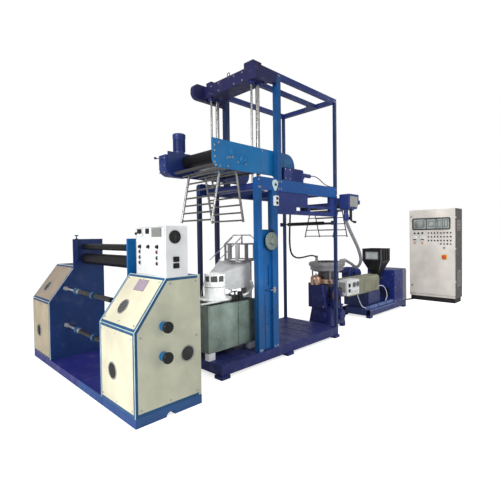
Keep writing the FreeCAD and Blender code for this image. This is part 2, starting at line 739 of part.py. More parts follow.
# First nip
def first_nip():
    pin = GUIDE_PIN
    save("guide_roller", fuse([
        y_rod(GUIDE_X, GUIDE_Z, GUIDE_Y[0], GUIDE_Y[1], GUIDE_R),
        y_rod(GUIDE_X, GUIDE_Z, SLIM - 28, TY - SLIM + 28, pin),
    ]))
    z1 = ARM_Z + ARM_T
    parts = [tube_x(TX, ARM_X1, y, y + SLIM, ARM_Z, z1) for y in (0, TY - SLIM)]
    parts.append(tube_y(ARM_X1 - SLIM, ARM_X1, SLIM, TY - SLIM, ARM_Z, z1))
    axes = (RING_X - FIRST_R - 0.5, RING_X + FIRST_R + 0.5)
    for y in (SLIM, TY - SLIM - HANGER):
        plate = block(axes[0] - 60, axes[1] + 60, y, y + HANGER, FIRST_Z - 70, z1)
        parts.append(cut(plate, [y_rod(x, FIRST_Z, y - 1, y + HANGER + 1, FIRST_PIN + FIT) for x in axes]))
    save("nip_frame", fuse(parts))
    for name, x in zip(("first_nip_roller_a", "first_nip_roller_b"), axes):
        face = y_rod(x, FIRST_Z, SLIM + HANGER + END_GAP, TY - SLIM - HANGER - END_GAP, FIRST_R)
        save(name, fuse([face, y_rod(x, FIRST_Z, SLIM + 1, TY - SLIM - 1, FIRST_PIN)]))
    x = TX + 60
    z0 = ARM_Z - 100
    box = prism([(x, z0), (x + 230, z0), (x + 290, z0 + 90), (x + 290, z0 + 215), (x, z0 + 215)], -150, 0)
    box = rounded(box, 14, lambda b: b.YLength > 100)
    fx, fy = HOSE[0][0], HOSE[0][1]
    neck = [z_rod(fx, fy, HOSE[0][2], HOSE[0][2] + 90, 40), z_rod(fx, fy, HOSE[0][2] + 90, z0 + 5, 32)]
    neck.append(block(fx - 20, fx + 140, fy - 10, fy + 10, HOSE[0][2] + 20, HOSE[0][2] + 60))
    save("nip_motor_box", fuse([box] + neck).cut(socket(HOSE[0], HOSE[1], HOSE_R)))


def first_collapsing_frame():
    top_z, low_z = FRAME_Z
    ladders = []
    for side in (-1, 1):
        top = RING_X + side * FRAME_TOP
        low = RING_X + side * FRAME_BOT
        parts = [bar((top, y, top_z), (low, y, low_z), 9) for y in FRAME_Y]
        for i in range(FRAME_RUNGS):
            t = (i + 0.2) / (FRAME_RUNGS - 0.6)
            z = top_z + (low_z - top_z) * t
            parts.append(y_rod(top + (low - top) * t, z, FRAME_Y[0], FRAME_Y[1], 7))
        parts.append(y_rod(top, top_z - 4, SLIM + HANGER, TY - SLIM - HANGER, 7))
        ladders.append(fuse(parts))
    save_all("first_collapsing_frame", ladders)


# Water bath
def water_bath():
    x0, x1 = BATH_X
    y0, y1 = BATH_Y
    z0, z1 = BATH_Z
    g = GLASS
    save(
        "water_tank",
        block(x0, x1, y0, y1, z0, z1).cut(block(x0 + g, x1 - g, y0 + g, y1 - g, z0 + g, z1 + 1)),
    )
    pads = [
        block(x, x + PAD, y, y + PAD * 0.7, DECK, z0)
        for x in (x0, x1 - PAD)
        for y in (y0, y1 - PAD * 0.7)
    ]
    save_all("tank_pads", pads)
    r = SIZER_R
    inner = r - SIZER_WALL
    parts = [block(x0, x1, BUB_Y + s - 20, BUB_Y + s + 20, z1, z1 + BAR_T) for s in (-150, 150)]
    parts.append(z_rod(BUB_X, BUB_Y, z1 + BAR_T, z1 + 2 * BAR_T, r + 70))
    parts.append(z_rod(BUB_X, BUB_Y, z1 + BAR_T, SIZER_TOP, r))
    parts.append(z_rod(BUB_X, BUB_Y, 880, 886, r + 4))
    parts.append(z_rod(BUB_X, BUB_Y, WINDOW_TOP, WINDOW_TOP + 20, r))
    for i in range(8):
        a = math.pi * (i + 0.5) / 4
        x = BUB_X + (r - 8) * math.cos(a)
        y = BUB_Y + (r - 8) * math.sin(a)
        parts.append(block(x - 8, x + 8, y - 8, y + 8, SIZER_TOP, WINDOW_TOP))
    body = fuse(parts).cut(z_rod(BUB_X, BUB_Y, z1 - 1, WINDOW_TOP + 21, inner))
    save("sizing_ring", body)


def bath_cowl():
    """A folded sheet round the ring: two side plates, a sloped left plate and a right plate."""
    y0, y1 = COWL_Y
    t = SHEET
    outline = [(5, 1055), (365, COWL_Z), (730, COWL_Z), (730, 1158), (235, 1225)]
    sides = [prism(outline, y0, y0 + t), prism(outline, y1 - t, y1)]
    slope = prism([(5, 1055), (5 + t, 1050), (235 + t, 1220), (235, 1225)], y0 + t, y1 - t)
    right = block(730 - t, 730, y0 + t, y1 - t, COWL_Z, 1158)
    z = BATH_Z[1] + BAR_T
    legs = [block(x, x + 30, y, y + 30, z, COWL_Z + 40) for x in (472, 660) for y in (y0 + t, y1 - t - 30)]
    save("bath_cowl", fuse(sides + [slope, right] + legs))


def bubble_cage():
    """Upright slats between two rings, a smaller ring on stays above, all on a post from the deck."""
    z0, z1 = CAGE_Z
    ring = 14
    parts = []
    for i in range(SLATS):
        slat = block(CAGE_X + CAGE_R - 10, CAGE_X + CAGE_R, CAGE_Y - 22, CAGE_Y + 22, z0, z1)
        parts.append(slat.rotate(V(CAGE_X, CAGE_Y, 0), V(0, 0, 1), 360.0 * i / SLATS))
    for z in (z0, z1 - ring):
        parts.append(
            z_rod(CAGE_X, CAGE_Y, z, z + ring, CAGE_R + 4).cut(
                z_rod(CAGE_X, CAGE_Y, z - 1, z + ring + 1, CAGE_R - 14),
            ),
        )
    top = z_rod(CAGE_X, CAGE_Y, CAGE_TOP - ring, CAGE_TOP, CAGE_R * 0.5)
    parts.append(top.cut(z_rod(CAGE_X, CAGE_Y, CAGE_TOP - 20, CAGE_TOP + 1, CAGE_R * 0.5 - 14)))
    for i in range(4):
        a = math.pi * (2 * i + 1) / 4
        low = (CAGE_X + (CAGE_R - 6) * math.cos(a), CAGE_Y + (CAGE_R - 6) * math.sin(a), z1 - 4)
        up = (
            CAGE_X + (CAGE_R * 0.5 - 7) * math.cos(a),
            CAGE_Y + (CAGE_R * 0.5 - 7) * math.sin(a),
            CAGE_TOP - 6,
        )
        parts.append(bar(low, up, 6))
    post = block(CAGE_X + 20, CAGE_X + 120, CAGE_Y - 50, CAGE_Y + 50, DECK, z0 - 12)
    plate = block(CAGE_X - 110, CAGE_X + CAGE_R, CAGE_Y - 60, CAGE_Y + 60, z0 - 12, z0)
    arm = block(CAGE_X - CAGE_R, CAGE_X + CAGE_R, CAGE_Y - 20, CAGE_Y + 20, z0 - 12, z0)
    save("bubble_cage", fuse(parts + [post, plate, arm]))


# Extruder
def extruder_base():
    z1 = E_FOOT + E_RAIL
    x1 = EX + EL
    y1 = EY + EW
    w = 80
    parts = [tube_x(EX, x1, y, y + w, E_FOOT, z1) for y in (EY, y1 - w)]
    parts += [block(x, x + w, EY + w, y1 - w, E_FOOT, z1) for x in (EX, x1 - w)]
    parts += [block(x, x + 90, y, y + w, 0, E_FOOT) for x in (EX, x1 - 90) for y in (EY, y1 - w)]
    parts.append(block(EX + 120, COVER_X[1] - 60, EY + 90, y1 - 90, z1, AXIS_Z - COVER_DOWN))
    parts.append(block(EX + w, x1 - w, EY + w, y1 - w, z1 - 10, z1))
    parts.append(x_rod(EY + 42, z1 + 34, EX - 40, GEARBOX_X, 34))
    save("extruder_base", fuse(parts))


def extruder_drive():
    z0 = E_FOOT + E_RAIL
    x1 = EX + EL
    body = block(GEARBOX_X, x1 - 60, EY, EY + EW, z0, GEARBOX_Z)
    cap = rounded(
        block(x1 - 60, x1, EY - 8, EY + EW + 8, z0, GEARBOX_Z + 8),
        50,
        lambda b: b.YLength > 500 and b.ZMin > z0 + 100 and b.XMin > x1 - 1,
    )
    save("gearbox_housing", fuse([body, cap]))
    bx = BLOW_X
    y0 = EY + EW - 60
    case = y_rod(bx, 720, y0, y0 + BLOW_W, BLOW_R)
    mouth = block(bx - BLOW_R - 150, bx, y0 + 20, y0 + BLOW_W - 20, 720 + BLOW_R - 90, 720 + BLOW_R)
    foot = block(bx - 70, bx + 70, y0, y0 + BLOW_W, z0, 720)
    save("blower", fuse([case, mouth, foot]))


def barrel_and_cover():
    y0 = AXIS_Y - COVER_W / 2
    y1 = AXIS_Y + COVER_W / 2
    top = AXIS_Z + COVER_UP
    c = block(COVER_X[0], COVER_X[1], y0, y1, AXIS_Z - COVER_DOWN, top)
    c = rounded(c, 60, lambda b: b.XLength > 900 and b.ZMin > top - 1)
    save("barrel_cover", c.cut(x_rod(AXIS_Y, AXIS_Z, COVER_X[0] - 1, COVER_X[1] + 1, BARREL_R)))
    save("barrel", x_rod(AXIS_Y, AXIS_Z, RING_X + DIE_R, GEARBOX_X, BARREL_R))
    z0 = AXIS_Z + 150 - FAN_H
    fan = block(FAN_X[0], FAN_X[1], y0 - FAN_D, y0, z0, z0 + FAN_H)
    fans = [
        y_rod(x, z0 + FAN_H - 75, y0 - FAN_D - 12, y0 - FAN_D, 48)
        for x in (FAN_X[1] - 70, FAN_X[1] - 185)
    ]
    save("fan_box", fuse([rounded(fan, 10, lambda b: b.YLength > 100)] + fans))


def hopper():
    """A square hopper with a tapered foot, open at the top."""
    t = HOP_T
    low_z = AXIS_Z + BARREL_R + 22
    outer = loft(square(HOP_X, AXIS_Y, low_z, HOP_NECK), square(HOP_X, AXIS_Y, HOP_BEND, HOP_W))
    outer = fuse(
        [
            outer,
            block(
                HOP_X - HOP_W / 2,
                HOP_X + HOP_W / 2,
                AXIS_Y - HOP_W / 2,
                AXIS_Y + HOP_W / 2,
                HOP_BEND,
                HOP_TOP,
            ),
        ],
    )
    inner = loft(
        square(HOP_X, AXIS_Y, low_z + t, HOP_NECK - 2 * t),
        square(HOP_X, AXIS_Y, HOP_BEND, HOP_W - 2 * t),
    )
    h = HOP_W / 2 - t
    room = block(HOP_X - h, HOP_X + h, AXIS_Y - h, AXIS_Y + h, HOP_BEND, HOP_TOP + 1)
    lip = block(
        HOP_X - h - t - 8,
        HOP_X + h + t + 8,
        AXIS_Y - h - t - 8,
        AXIS_Y + h + t + 8,
        HOP_TOP - 12,
        HOP_TOP,
    )
    body = fuse([outer, lip]).cut(inner).cut(room)
    neck = z_rod(HOP_X, AXIS_Y, AXIS_Z, low_z, HOP_NECK / 2)
    flange = z_rod(HOP_X, AXIS_Y, low_z - 12, low_z, HOP_NECK * 0.7)
    neck = fuse([neck, flange]).cut(x_rod(AXIS_Y, AXIS_Z, HOP_X - 200, HOP_X + 200, BARREL_R))
    save("hopper", fuse([body, neck]))


def die_and_ring():
    a = AXIS_Z
    outline = [
        (0, STAND_Z),
        (150, STAND_Z),
        (150, STAND_Z + 24),
        (DIE_R, STAND_Z + 30),
        (DIE_R, a + 100),
        (165, a + 105),
        (165, a + 185),
        (DIE_R, a + 190),
        (DIE_R, RING_Z - 90),
        (140, RING_Z - 80),
        (140, RING_Z),
        (0, RING_Z),
    ]
    arm_z = a + 157
    arms = []
    for deg in RING_LEGS:
        arm = block(RING_X, RING_X + RING_R - 30, AXIS_Y - 13, AXIS_Y + 13, arm_z - 26, arm_z)
        arms.append(arm.rotate(V(RING_X, AXIS_Y, 0), V(0, 0, 1), deg))
    save("die_head", fuse([turned(outline, RING_X, AXIS_Y, "z")] + arms))
    profile = [
        (RING_BORE, RING_Z),
        (RING_R - 70, RING_Z),
        (RING_R - 25, RING_Z + 25),
        (RING_R - 25, RING_Z + RING_H - 70),
        (RING_R, RING_Z + RING_H - 60),
        (RING_R, RING_Z + RING_H - 20),
        (RING_R - 20, RING_Z + RING_H),
        (RING_BORE + 60, RING_Z + RING_H),
        (RING_BORE, RING_Z + RING_H - 25),
    ]
    parts = [turned(profile, RING_X, AXIS_Y, "z")]
    for deg in RING_LEGS:
        c = math.radians(deg)
        x = RING_X + (RING_R - 45) * math.cos(c)
        y = AXIS_Y + (RING_R - 45) * math.sin(c)
        parts.append(z_rod(x, y, arm_z, RING_Z + 40, 12))
    ex, ey, ez = PIPE[-1]
    parts.append(z_rod(ex, ey, RING_Z + RING_H - 5, ez + 24, 22))
    tip = HOSE[-1]
    inward = V(RING_X - tip[0], AXIS_Y - tip[1], RING_Z + RING_H - 30 - tip[2])
    inward.normalize()
    parts.append(Part.makeCylinder(34, 90, V(*tip), inward))
    sockets = [socket(HOSE[-1], HOSE[-2], HOSE_R), socket(PIPE[-1], PIPE[-2], PIPE_R)]
    save("air_ring", cut(fuse(parts), sockets))


def die_stand():
    """A cast stand on four feet, with round flanges on three faces."""
    h = STAND_W / 2
    x0 = RING_X - h
    x1 = RING_X + h
    y0 = AXIS_Y - h
    y1 = AXIS_Y + h
    parts = [loft(square(RING_X, AXIS_Y, 60, STAND_W), square(RING_X, AXIS_Y, 330, STAND_W - 70))]
    parts.append(block(x0 + 20, x1 - 20, y0 + 20, y1 - 20, 330, 360))
    parts.append(z_rod(RING_X, AXIS_Y, 360, STAND_Z, 150))
    parts.append(z_rod(RING_X, AXIS_Y, 395, 415, 185))
    parts += [block(x, x + 70, y, y + 70, 0, 60) for x in (x0, x1 - 70) for y in (y0, y1 - 70)]
    parts.append(x_rod(AXIS_Y - 40, 200, x0 - 55, x0 + 60, 85))
    parts.append(y_rod(RING_X + 60, 210, y0 - 50, y0 + 60, 80))
    low = STAND_Z - 120
    parts.append(block(x0 - 30, x0 + 55, y0 + 90, y1 - 20, low, STAND_Z + 240))
    parts.append(block(x0 + 60, x1 - 150, y0 - 15, y0 + 55, low, STAND_Z + 190))
    parts.append(z_rod(x0 + 12, y1 - 50, low, STAND_Z + 265, 55))
    parts.append(z_rod(x0 + 100, y0 - 5, low, STAND_Z + 225, 45))
    parts.append(x_rod(y0 + 150, STAND_Z + 60, x0 - 85, x0, 70))
    parts.append(y_rod(x0 + 170, STAND_Z + 80, y0 - 55, y0, 55))
    save("die_stand", fuse(parts))


# Control cabinet
def cabinet():
    hx = CX - DOOR / 2 - DOOR_GAP
    hy = CY - KNUCKLE
    parts = [block(CX, CX + CD, CY, CY + CW, PLINTH, CZ)]
    parts.append(block(CX + 20, CX + CD - 20, CY + 20, CY + CW - 20, 0, PLINTH))
    for z in HINGE_Z:
        parts.append(z_rod(hx, hy, z, z + HINGE_L, KNUCKLE))
        parts.append(block(hx, CX + 40, hy, CY, z, z + HINGE_L))
        parts.append(z_rod(hx, hy, z + HINGE_L, z + 2 * HINGE_L, HINGE_PIN))
    save("cabinet_body", fuse(parts))
    x0 = CX - DOOR - DOOR_GAP
    x1 = CX - DOOR_GAP
    door = [block(x0, x1, CY + 3, CY + CW - 6, PLINTH + 56, CZ - 8)]
    pins = []
    for z in HINGE_Z:
        door.append(z_rod(hx, hy, z + HINGE_L + 0.3, z + 2 * HINGE_L, KNUCKLE))
        door.append(block(x0, hx - HINGE_PIN - 0.5, hy, CY + 10, z + HINGE_L + 0.3, z + 2 * HINGE_L))
        pins.append(z_rod(hx, hy, z + HINGE_L, z + 2 * HINGE_L + 1, HINGE_PIN + FIT))
    save("cabinet_door", cut(fuse(door), pins))
    left = CY + CW
    save(
        "door_window",
        rounded(
            block(x0 - 6, x0, CY + 90, left - 70, 1570, 1830),
            20,
            lambda b: b.XLength > 5.9 and b.XLength < 6.1,
        ),
    )
    parts = []
    for i in range(8):
        for z in (1500, 1418, 1336):
            parts.append(x_rod(left - 420 - i * 64, z, x0 - 14, x0, 17))
    for s in (125, 205, 290):
        parts.append(x_rod(left - s, 1500, x0 - 14, x0, 17))
    for s in (125, 290):
        parts.append(x_rod(left - s, 1385, x0 - 10, x0, 42))
        parts.append(x_rod(left - s, 1285, x0 - 10, x0, 20))
    parts.append(x_rod(CY + 215, 980, x0 - 28, x0, 52))
    save_all("door_controls", parts)


# Hoses and cables: straight runs joined by tangent arcs.
def route(points, name=""):
    pts = [V(*p) for p in points]
    edges = []
    last = pts[0]
    for i in range(1, len(pts) - 1):
        a = pts[i - 1].sub(pts[i])
        b = pts[i + 1].sub(pts[i])
        reach = 0.45 * min(a.Length, b.Length)
        a.normalize()
        b.normalize()
        turn = math.pi - a.getAngle(b)
        bend = reach / math.tan(turn / 2)
        start = pts[i] + a * reach
        end = pts[i] + b * reach
        inward = a + b
        inward.normalize()
        middle = pts[i] + inward * (bend / math.cos(turn / 2) - bend)
        edges.append(Part.LineSegment(last, start).toShape())
        edges.append(Part.Arc(start, middle, end).toShape())
        last = end
        if name:
            print(name, "bend radius", round(bend), "turn", round(math.degrees(turn)))
    edges.append(Part.LineSegment(last, pts[-1]).toShape())
    return Part.Wire(edges)


def tube(points, radius):
    ring = Part.Wire(Part.makeCircle(radius, V(*points[0]), V(*points[1]).sub(V(*points[0]))))
    return route(points).makePipeShell([ring], True, False)


def cord(name, points, radius):
    shape = tube(points, radius)
    length = route(points, name).Length
    print(
        name,
        "length",
        round(length),
        "volume share",
        round(shape.Volume / (math.pi * radius ** 2 * length), 3),
    )
    save(name, shape)


winder_housings()
winder_panels()
winder_base()
winder_rollers()
control_box()
hand_knobs()
tower_base()
twin_legs()
upper_frame()
mid_frame()
gantry()
carriage()
collapsing_frame()
tower_fittings()
first_nip()
first_collapsing_frame()
water_bath()
bath_cowl()
bubble_cage()
extruder_base()
extruder_drive()
barrel_and_cover()
hopper()
die_and_ring()
die_stand()
cabinet()
cord("inflation_pipe", PIPE, PIPE_R)
cord("air_hose", HOSE, HOSE_R)
cord("drive_lead", DRIVE_LEAD, LEAD_R)
cord("heater_lead_left", LOOP_A, LEAD_R)
cord("heater_lead_right", LOOP_B, LEAD_R)
cord("floor_cable", FLOOR_LEAD, FLOOR_LEAD_R)
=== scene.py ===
import math
import random
from itertools import product

import bmesh
import bpy
from mathutils import Matrix, Vector


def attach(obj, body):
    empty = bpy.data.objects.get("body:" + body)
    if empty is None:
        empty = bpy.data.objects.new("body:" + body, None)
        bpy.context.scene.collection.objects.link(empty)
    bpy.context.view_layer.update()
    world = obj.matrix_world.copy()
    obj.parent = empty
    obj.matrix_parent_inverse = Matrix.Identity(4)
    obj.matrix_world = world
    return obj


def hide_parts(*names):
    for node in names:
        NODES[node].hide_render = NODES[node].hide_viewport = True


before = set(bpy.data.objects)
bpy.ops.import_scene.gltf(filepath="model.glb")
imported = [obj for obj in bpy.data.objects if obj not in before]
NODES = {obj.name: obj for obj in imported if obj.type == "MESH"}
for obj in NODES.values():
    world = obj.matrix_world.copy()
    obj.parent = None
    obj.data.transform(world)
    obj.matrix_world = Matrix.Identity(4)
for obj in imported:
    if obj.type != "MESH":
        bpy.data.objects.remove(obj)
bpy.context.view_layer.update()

random.seed(7)


# Directions, and the colour of white light
NEAR, FAR, LEFT, RIGHT, UP, DOWN = (0, -1, 0), (0, 1, 0), (-1, 0, 0), (1, 0, 0), (0, 0, 1), (0, 0, -1)
PURE_WHITE = (1, 1, 1)


# Materials: every one is a small node tree with its own variation, bump and wear.
def wire(nt, n, inputs):
    """Link each named input from a socket, or set it as a constant."""
    for key, value in inputs.items():
        socket = n.inputs[key]
        if isinstance(value, bpy.types.NodeSocket):
            nt.links.new(value, socket)
        else:
            socket.default_value = (*value, 1) if socket.type == "RGBA" else value
    return n


def node(nt, kind, inputs, **settings):
    n = nt.nodes.new("ShaderNode" + kind)
    for key, value in settings.items():
        setattr(n, key, value)
    return wire(nt, n, inputs)


def tree(name):
    m = bpy.data.materials.new(name)
    m.use_nodes = True
    nt = m.node_tree
    nt.nodes.clear()
    bsdf = node(nt, "BsdfPrincipled", {})
    node(nt, "OutputMaterial", {"Surface": bsdf.outputs["BSDF"]})
    return m, nt, bsdf, node(nt, "TexCoord", {}).outputs["Object"]


def noise(nt, vector, scale, detail=4.0, stretch=None):
    if stretch:
        vector = node(nt, "Mapping", {"Scale": stretch, "Vector": vector}).outputs["Vector"]
    return node(nt, "TexNoise", {"Scale": scale, "Detail": detail, "Vector": vector}).outputs["Fac"]


def ramp(nt, fac, stops):
    r = node(nt, "ValToRGB", {"Fac": fac})
    while len(r.color_ramp.elements) < len(stops):
        r.color_ramp.elements.new(0.5)
    for e, (at, c) in zip(r.color_ramp.elements, stops):
        e.position = at
        e.color = (c, c, c, 1)
    return r.outputs["Color"]


def mix(nt, fac, a, b):
    return node(nt, "Mix", {"Factor": fac, "A": a, "B": b}, data_type="RGBA").outputs["Result"]


def bump(nt, bsdf, height, strength, distance):
    bent = node(nt, "Bump", {"Strength": strength, "Distance": distance, "Height": height})
    wire(nt, bsdf, {"Normal": bent.outputs["Normal"]})


def shade(c, k):
    return tuple(min(1.0, x * k) for x in c)


def paint(name, colour, rough=0.35, coat=0.3, wear=0.5, metal=0.0, dust=(0.35, 0.33, 0.3)):
    """Sprayed paint: broad tone changes, fine orange peel, dull dust and a few pale scuffs."""
    m, nt, bsdf, at = tree(name)
    broad = noise(nt, at, 2.6, 3)
    base = mix(nt, ramp(nt, broad, ((0.3, 0.0), (0.7, 1.0))), shade(colour, 0.84), shade(colour, 1.13))
    grime = ramp(nt, noise(nt, at, 9, 8), ((0.56, 0.0), (0.78, 0.22 * wear)))
    base = mix(nt, grime, base, dust)
    scuff = ramp(nt, noise(nt, at, 60, 3, (1, 1, 0.25)), ((0.71, 0.0), (0.76, 0.35 * wear)))
    base = mix(nt, scuff, base, shade(colour, 1.9))
    sheen = ramp(nt, noise(nt, at, 14, 5), ((0.3, rough * 0.8), (0.75, min(1.0, rough * 1.5))))
    wire(nt, bsdf, {"Base Color": base, "Roughness": sheen, "Metallic": metal, "Specular IOR Level": 0.3,
        "Coat Weight": coat * 0.35, "Coat Roughness": 0.2})
    bump(nt, bsdf, noise(nt, at, 380, 2), 0.12, 0.0006)
    return m


def bare(name, colour, rough=0.25, stretch=(1, 40, 1), depth=0.2, metal=1.0):
    """Turned or drawn metal with fine lines along one way and faint stains."""
    m, nt, bsdf, at = tree(name)
    stain = ramp(nt, noise(nt, at, 11, 6), ((0.35, 0.0), (0.8, 1.0)))
    lines = noise(nt, at, 45, 3, stretch) if depth else noise(nt, at, 12, 5)
    wire(nt, bsdf, {"Base Color": mix(nt, stain, shade(colour, 1.05), shade(colour, 0.78)),
        "Metallic": metal, "Roughness": ramp(nt, lines, ((0.3, rough * 0.6), (0.8, rough * 1.6)))})
    if depth:
        bump(nt, bsdf, lines, depth, 0.0004)
    return m


def plastic(name, colour, rough=0.4, grain=300):
    m, nt, bsdf, at = tree(name)
    tone = ramp(nt, noise(nt, at, 16, 4), ((0.3, 0.0), (0.8, 1.0)))
    sheen = ramp(nt, noise(nt, at, 30, 4), ((0.3, rough * 0.8), (0.8, rough * 1.4)))
    wire(nt, bsdf, {"Base Color": mix(nt, tone, shade(colour, 1.1), shade(colour, 0.8)),
        "Roughness": sheen, "Specular IOR Level": 0.3})
    bump(nt, bsdf, noise(nt, at, grain, 2), 0.15, 0.0005)
    return m


def see_through(name, colour, rough, weight, ior=1.45):
    m, nt, bsdf, at = tree(name)
    smear = ramp(nt, noise(nt, at, 5, 6), ((0.35, 0.0), (0.75, 1.0)))
    base = mix(nt, smear, shade(colour, 1.2), shade(colour, 0.5))
    spots = ramp(nt, noise(nt, at, 22, 2), ((0.68, 0.0), (0.74, 0.5)))
    sheen = ramp(nt, noise(nt, at, 18, 4), ((0.3, rough), (0.8, rough * 3)))
    wire(nt, bsdf, {"Base Color": mix(nt, spots, base, shade(colour, 1.9)), "Roughness": sheen,
        "Transmission Weight": weight, "IOR": ior})
    return m


# Paints that change at a known place on the same solid.
def inside(nt, at, lo, hi):
    """1 where the point of the object lies in a box, else 0."""
    xyz = node(nt, "SeparateXYZ", {"Vector": at})
    out = None
    for axis in range(3):
        for limit, op in ((lo[axis], "GREATER_THAN"), (hi[axis], "LESS_THAN")):
            if limit is None:
                continue
            test = node(nt, "Math", {0: xyz.outputs[axis], 1: limit}, operation=op).outputs[0]
            if out:
                test = node(nt, "Math", {0: out, 1: test}, operation="MULTIPLY").outputs[0]
            out = test
    return out


ANY = (None, None, None)


def zoned(name, colour, zones, **kind):
    """A paint whose colour changes inside each box of zones."""
    m = paint(name, colour, **kind)
    nt = m.node_tree
    bsdf = next(n for n in nt.nodes if n.type == "BSDF_PRINCIPLED")
    at = next(n for n in nt.nodes if n.type == "TEX_COORD").outputs["Object"]
    base = bsdf.inputs["Base Color"].links[0].from_socket
    for lo, hi, other in zones:
        tone = ramp(nt, noise(nt, at, 6, 5), ((0.3, 0.0), (0.75, 1.0)))
        patch = mix(nt, tone, shade(other, 0.88), shade(other, 1.1))
        base = mix(nt, inside(nt, at, lo, hi), base, patch)
    wire(nt, bsdf, {"Base Color": base})
    return m


TEAL = paint("paint_teal", (0.012, 0.13, 0.32), 0.36, 0.3, 0.5)
NAVY = paint("paint_navy", (0.017, 0.036, 0.185), 0.38, 0.3, 0.6)
DEEP = paint("paint_deep", (0.02, 0.028, 0.15), 0.42, 0.2, 0.7)
WHITE = paint("paint_white", (0.82, 0.84, 0.85), 0.38, 0.2, 0.3)
PALE = paint("paint_pale_edge", (0.62, 0.74, 0.74), 0.35, 0.3, 0.4)
BEIGE = paint("paint_cabinet", (0.7, 0.66, 0.61), 0.45, 0.15, 0.35)
OLIVE = paint("paint_olive", (0.27, 0.27, 0.19), 0.45, 0.1, 0.6)
GREY = paint("paint_grey", (0.32, 0.33, 0.31), 0.5, 0.0, 0.6)
DARKGREY = paint("paint_dark_grey", (0.07, 0.07, 0.075), 0.5, 0.0, 0.7)
BLACK = paint("paint_black", (0.012, 0.012, 0.014), 0.35, 0.2, 0.5)
CHROME = bare("chrome", (0.34, 0.335, 0.33), 0.3, (1, 1, 1), 0.0)
STEEL = bare("steel_turned", (0.55, 0.55, 0.57), 0.28, (60, 1, 60), 0.2)
STEEL_X = bare("steel_drawn", (0.5, 0.5, 0.52), 0.3, (1, 40, 40), 0.2)
DARKSTEEL = bare("steel_dark", (0.16, 0.15, 0.15), 0.4, (40, 1, 40), 0.3)
ALU = bare("aluminium_sheet", (0.58, 0.59, 0.6), 0.42, (1, 30, 1), 0.08, 0.4)
ALU_DULL = bare("aluminium_dull", (0.34, 0.33, 0.345), 0.42, (1, 30, 1), 0.1, 0.6)
COPPER = bare("heater_band", (0.72, 0.47, 0.34), 0.35, (1, 1, 30), 0.25)
RUBBER = plastic("rubber_black", (0.005, 0.005, 0.006), 0.4, 60)
PLASTIC = plastic("plastic_black", (0.014, 0.014, 0.015), 0.35)
IVORY = plastic("plastic_white", (0.8, 0.82, 0.81), 0.3)
HOSE_MAT = plastic("hose_grey", (0.23, 0.23, 0.25), 0.45)
RED = plastic("button_red", (0.16, 0.012, 0.016), 0.3)
GREEN = plastic("button_green", (0.015, 0.07, 0.035), 0.3)
AMBER = plastic("button_amber", (0.75, 0.22, 0.02), 0.3)
DARKRED = plastic("button_dark_red", (0.06, 0.008, 0.012), 0.3)
GLASS = see_through("tank_glass", (0.25, 0.33, 0.285), 0.08, 0.25)
WATER = see_through("tank_water", (0.24, 0.34, 0.29), 0.02, 0.4, 1.33)
PANE = see_through("window_pane", (0.42, 0.47, 0.45), 0.08, 0.25)
YELLOW = plastic("switch_yellow", (0.7, 0.42, 0.03), 0.35)
ORANGE = plastic("switch_orange", (0.62, 0.1, 0.02), 0.35)
DISC = paint("paint_disc", (0.175, 0.205, 0.185), 0.45, 0.1, 0.6)
PALECYAN = paint("paint_pale_cyan", (0.6, 0.78, 0.8), 0.4, 0.1, 0.4)
TANKEDGE = bare("tank_edge_metal", (0.3, 0.34, 0.31), 0.4, (1, 1, 1), 0.1)
DEPOSIT = paint("tank_deposit", (0.3, 0.36, 0.32), 0.7, 0.0, 0.6)
BROWN = paint("flange_brown", (0.13, 0.075, 0.065), 0.5, 0.0, 0.7, metal=0.4)
BLACKSTEEL = bare("steel_black", (0.05, 0.05, 0.052), 0.35, (1, 1, 1), 0.2)
OLIVEDARK = paint("paint_olive_dark", (0.14, 0.14, 0.1), 0.5, 0.0, 0.5)
DARKNAVY = paint("paint_dark_navy", (0.007, 0.012, 0.055), 0.45, 0.1, 0.6)
# Carriage: bright blue, with a navy copy of the same paint beyond Y 0.86 as painted shade.
CARRIAGE_SHADED_FAR = zoned("paint_carriage_shaded_far", (0.004, 0.17, 0.44),
    [((None, 0.86, None), ANY, (0.012, 0.03, 0.15)), ((None, 0.095, None), (1.0, 0.86, 2.3),
    (0.055, 0.052, 0.055)), ((0.95, None, None), (None, 0.3, None), (0.006, 0.1, 0.3))], rough=0.32,
    coat=0.4, wear=0.3)
# Housing panels: cream. The near side below Y -0.256 is darkened to greenish cream and the far panels
# beyond Y 1.2 to tan and brown, all painted shade.
PANELS_WITH_PAINTED_SHADE = zoned("paint_panels_painted_shade", (0.8, 0.76, 0.57), [(ANY, (None, -0.256, None), (0.6, 0.61, 0.47)),
    ((None, 1.2, 0.752), ANY, (0.36, 0.29, 0.22)), ((None, 1.2, None), (None, None, 0.752),
    (0.5, 0.42, 0.29))], rough=0.42, coat=0.2, wear=0.4, dust=(0.45, 0.42, 0.33))
SHAFT = zoned("shaft_paint", (0.035, 0.033, 0.036), [((None, 1.26, None), ANY, (0.42, 0.42, 0.44)),
    ((None, 1.318, None), (None, 1.356, None), (0.05, 0.16, 0.36)),
    ((None, 0.868, None), (None, 0.906, None), (0.05, 0.16, 0.36)),
    ((None, 1.445, None), (None, 1.495, None), (0.5, 0.5, 0.52))], rough=0.3, coat=0.3, wear=0.6, metal=0.5)
PLATE = paint("plate_mauve", (0.42, 0.33, 0.42), 0.4, 0.1, 0.5)
SIGHT = see_through("hopper_sight", (0.62, 0.66, 0.68), 0.1, 0.15)
# Tower posts: navy is the shaded copy of the paint, and a bright blue copy on the near posts is painted
# light.
POSTS_SHADED_WITH_LIT_NEAR = zoned("paint_posts_painted_light_and_shade", (0.014, 0.034, 0.12), [((None, -1, None), (1.2, 0.3, None),
    (0.004, 0.08, 0.26))], rough=0.36, wear=0.5)
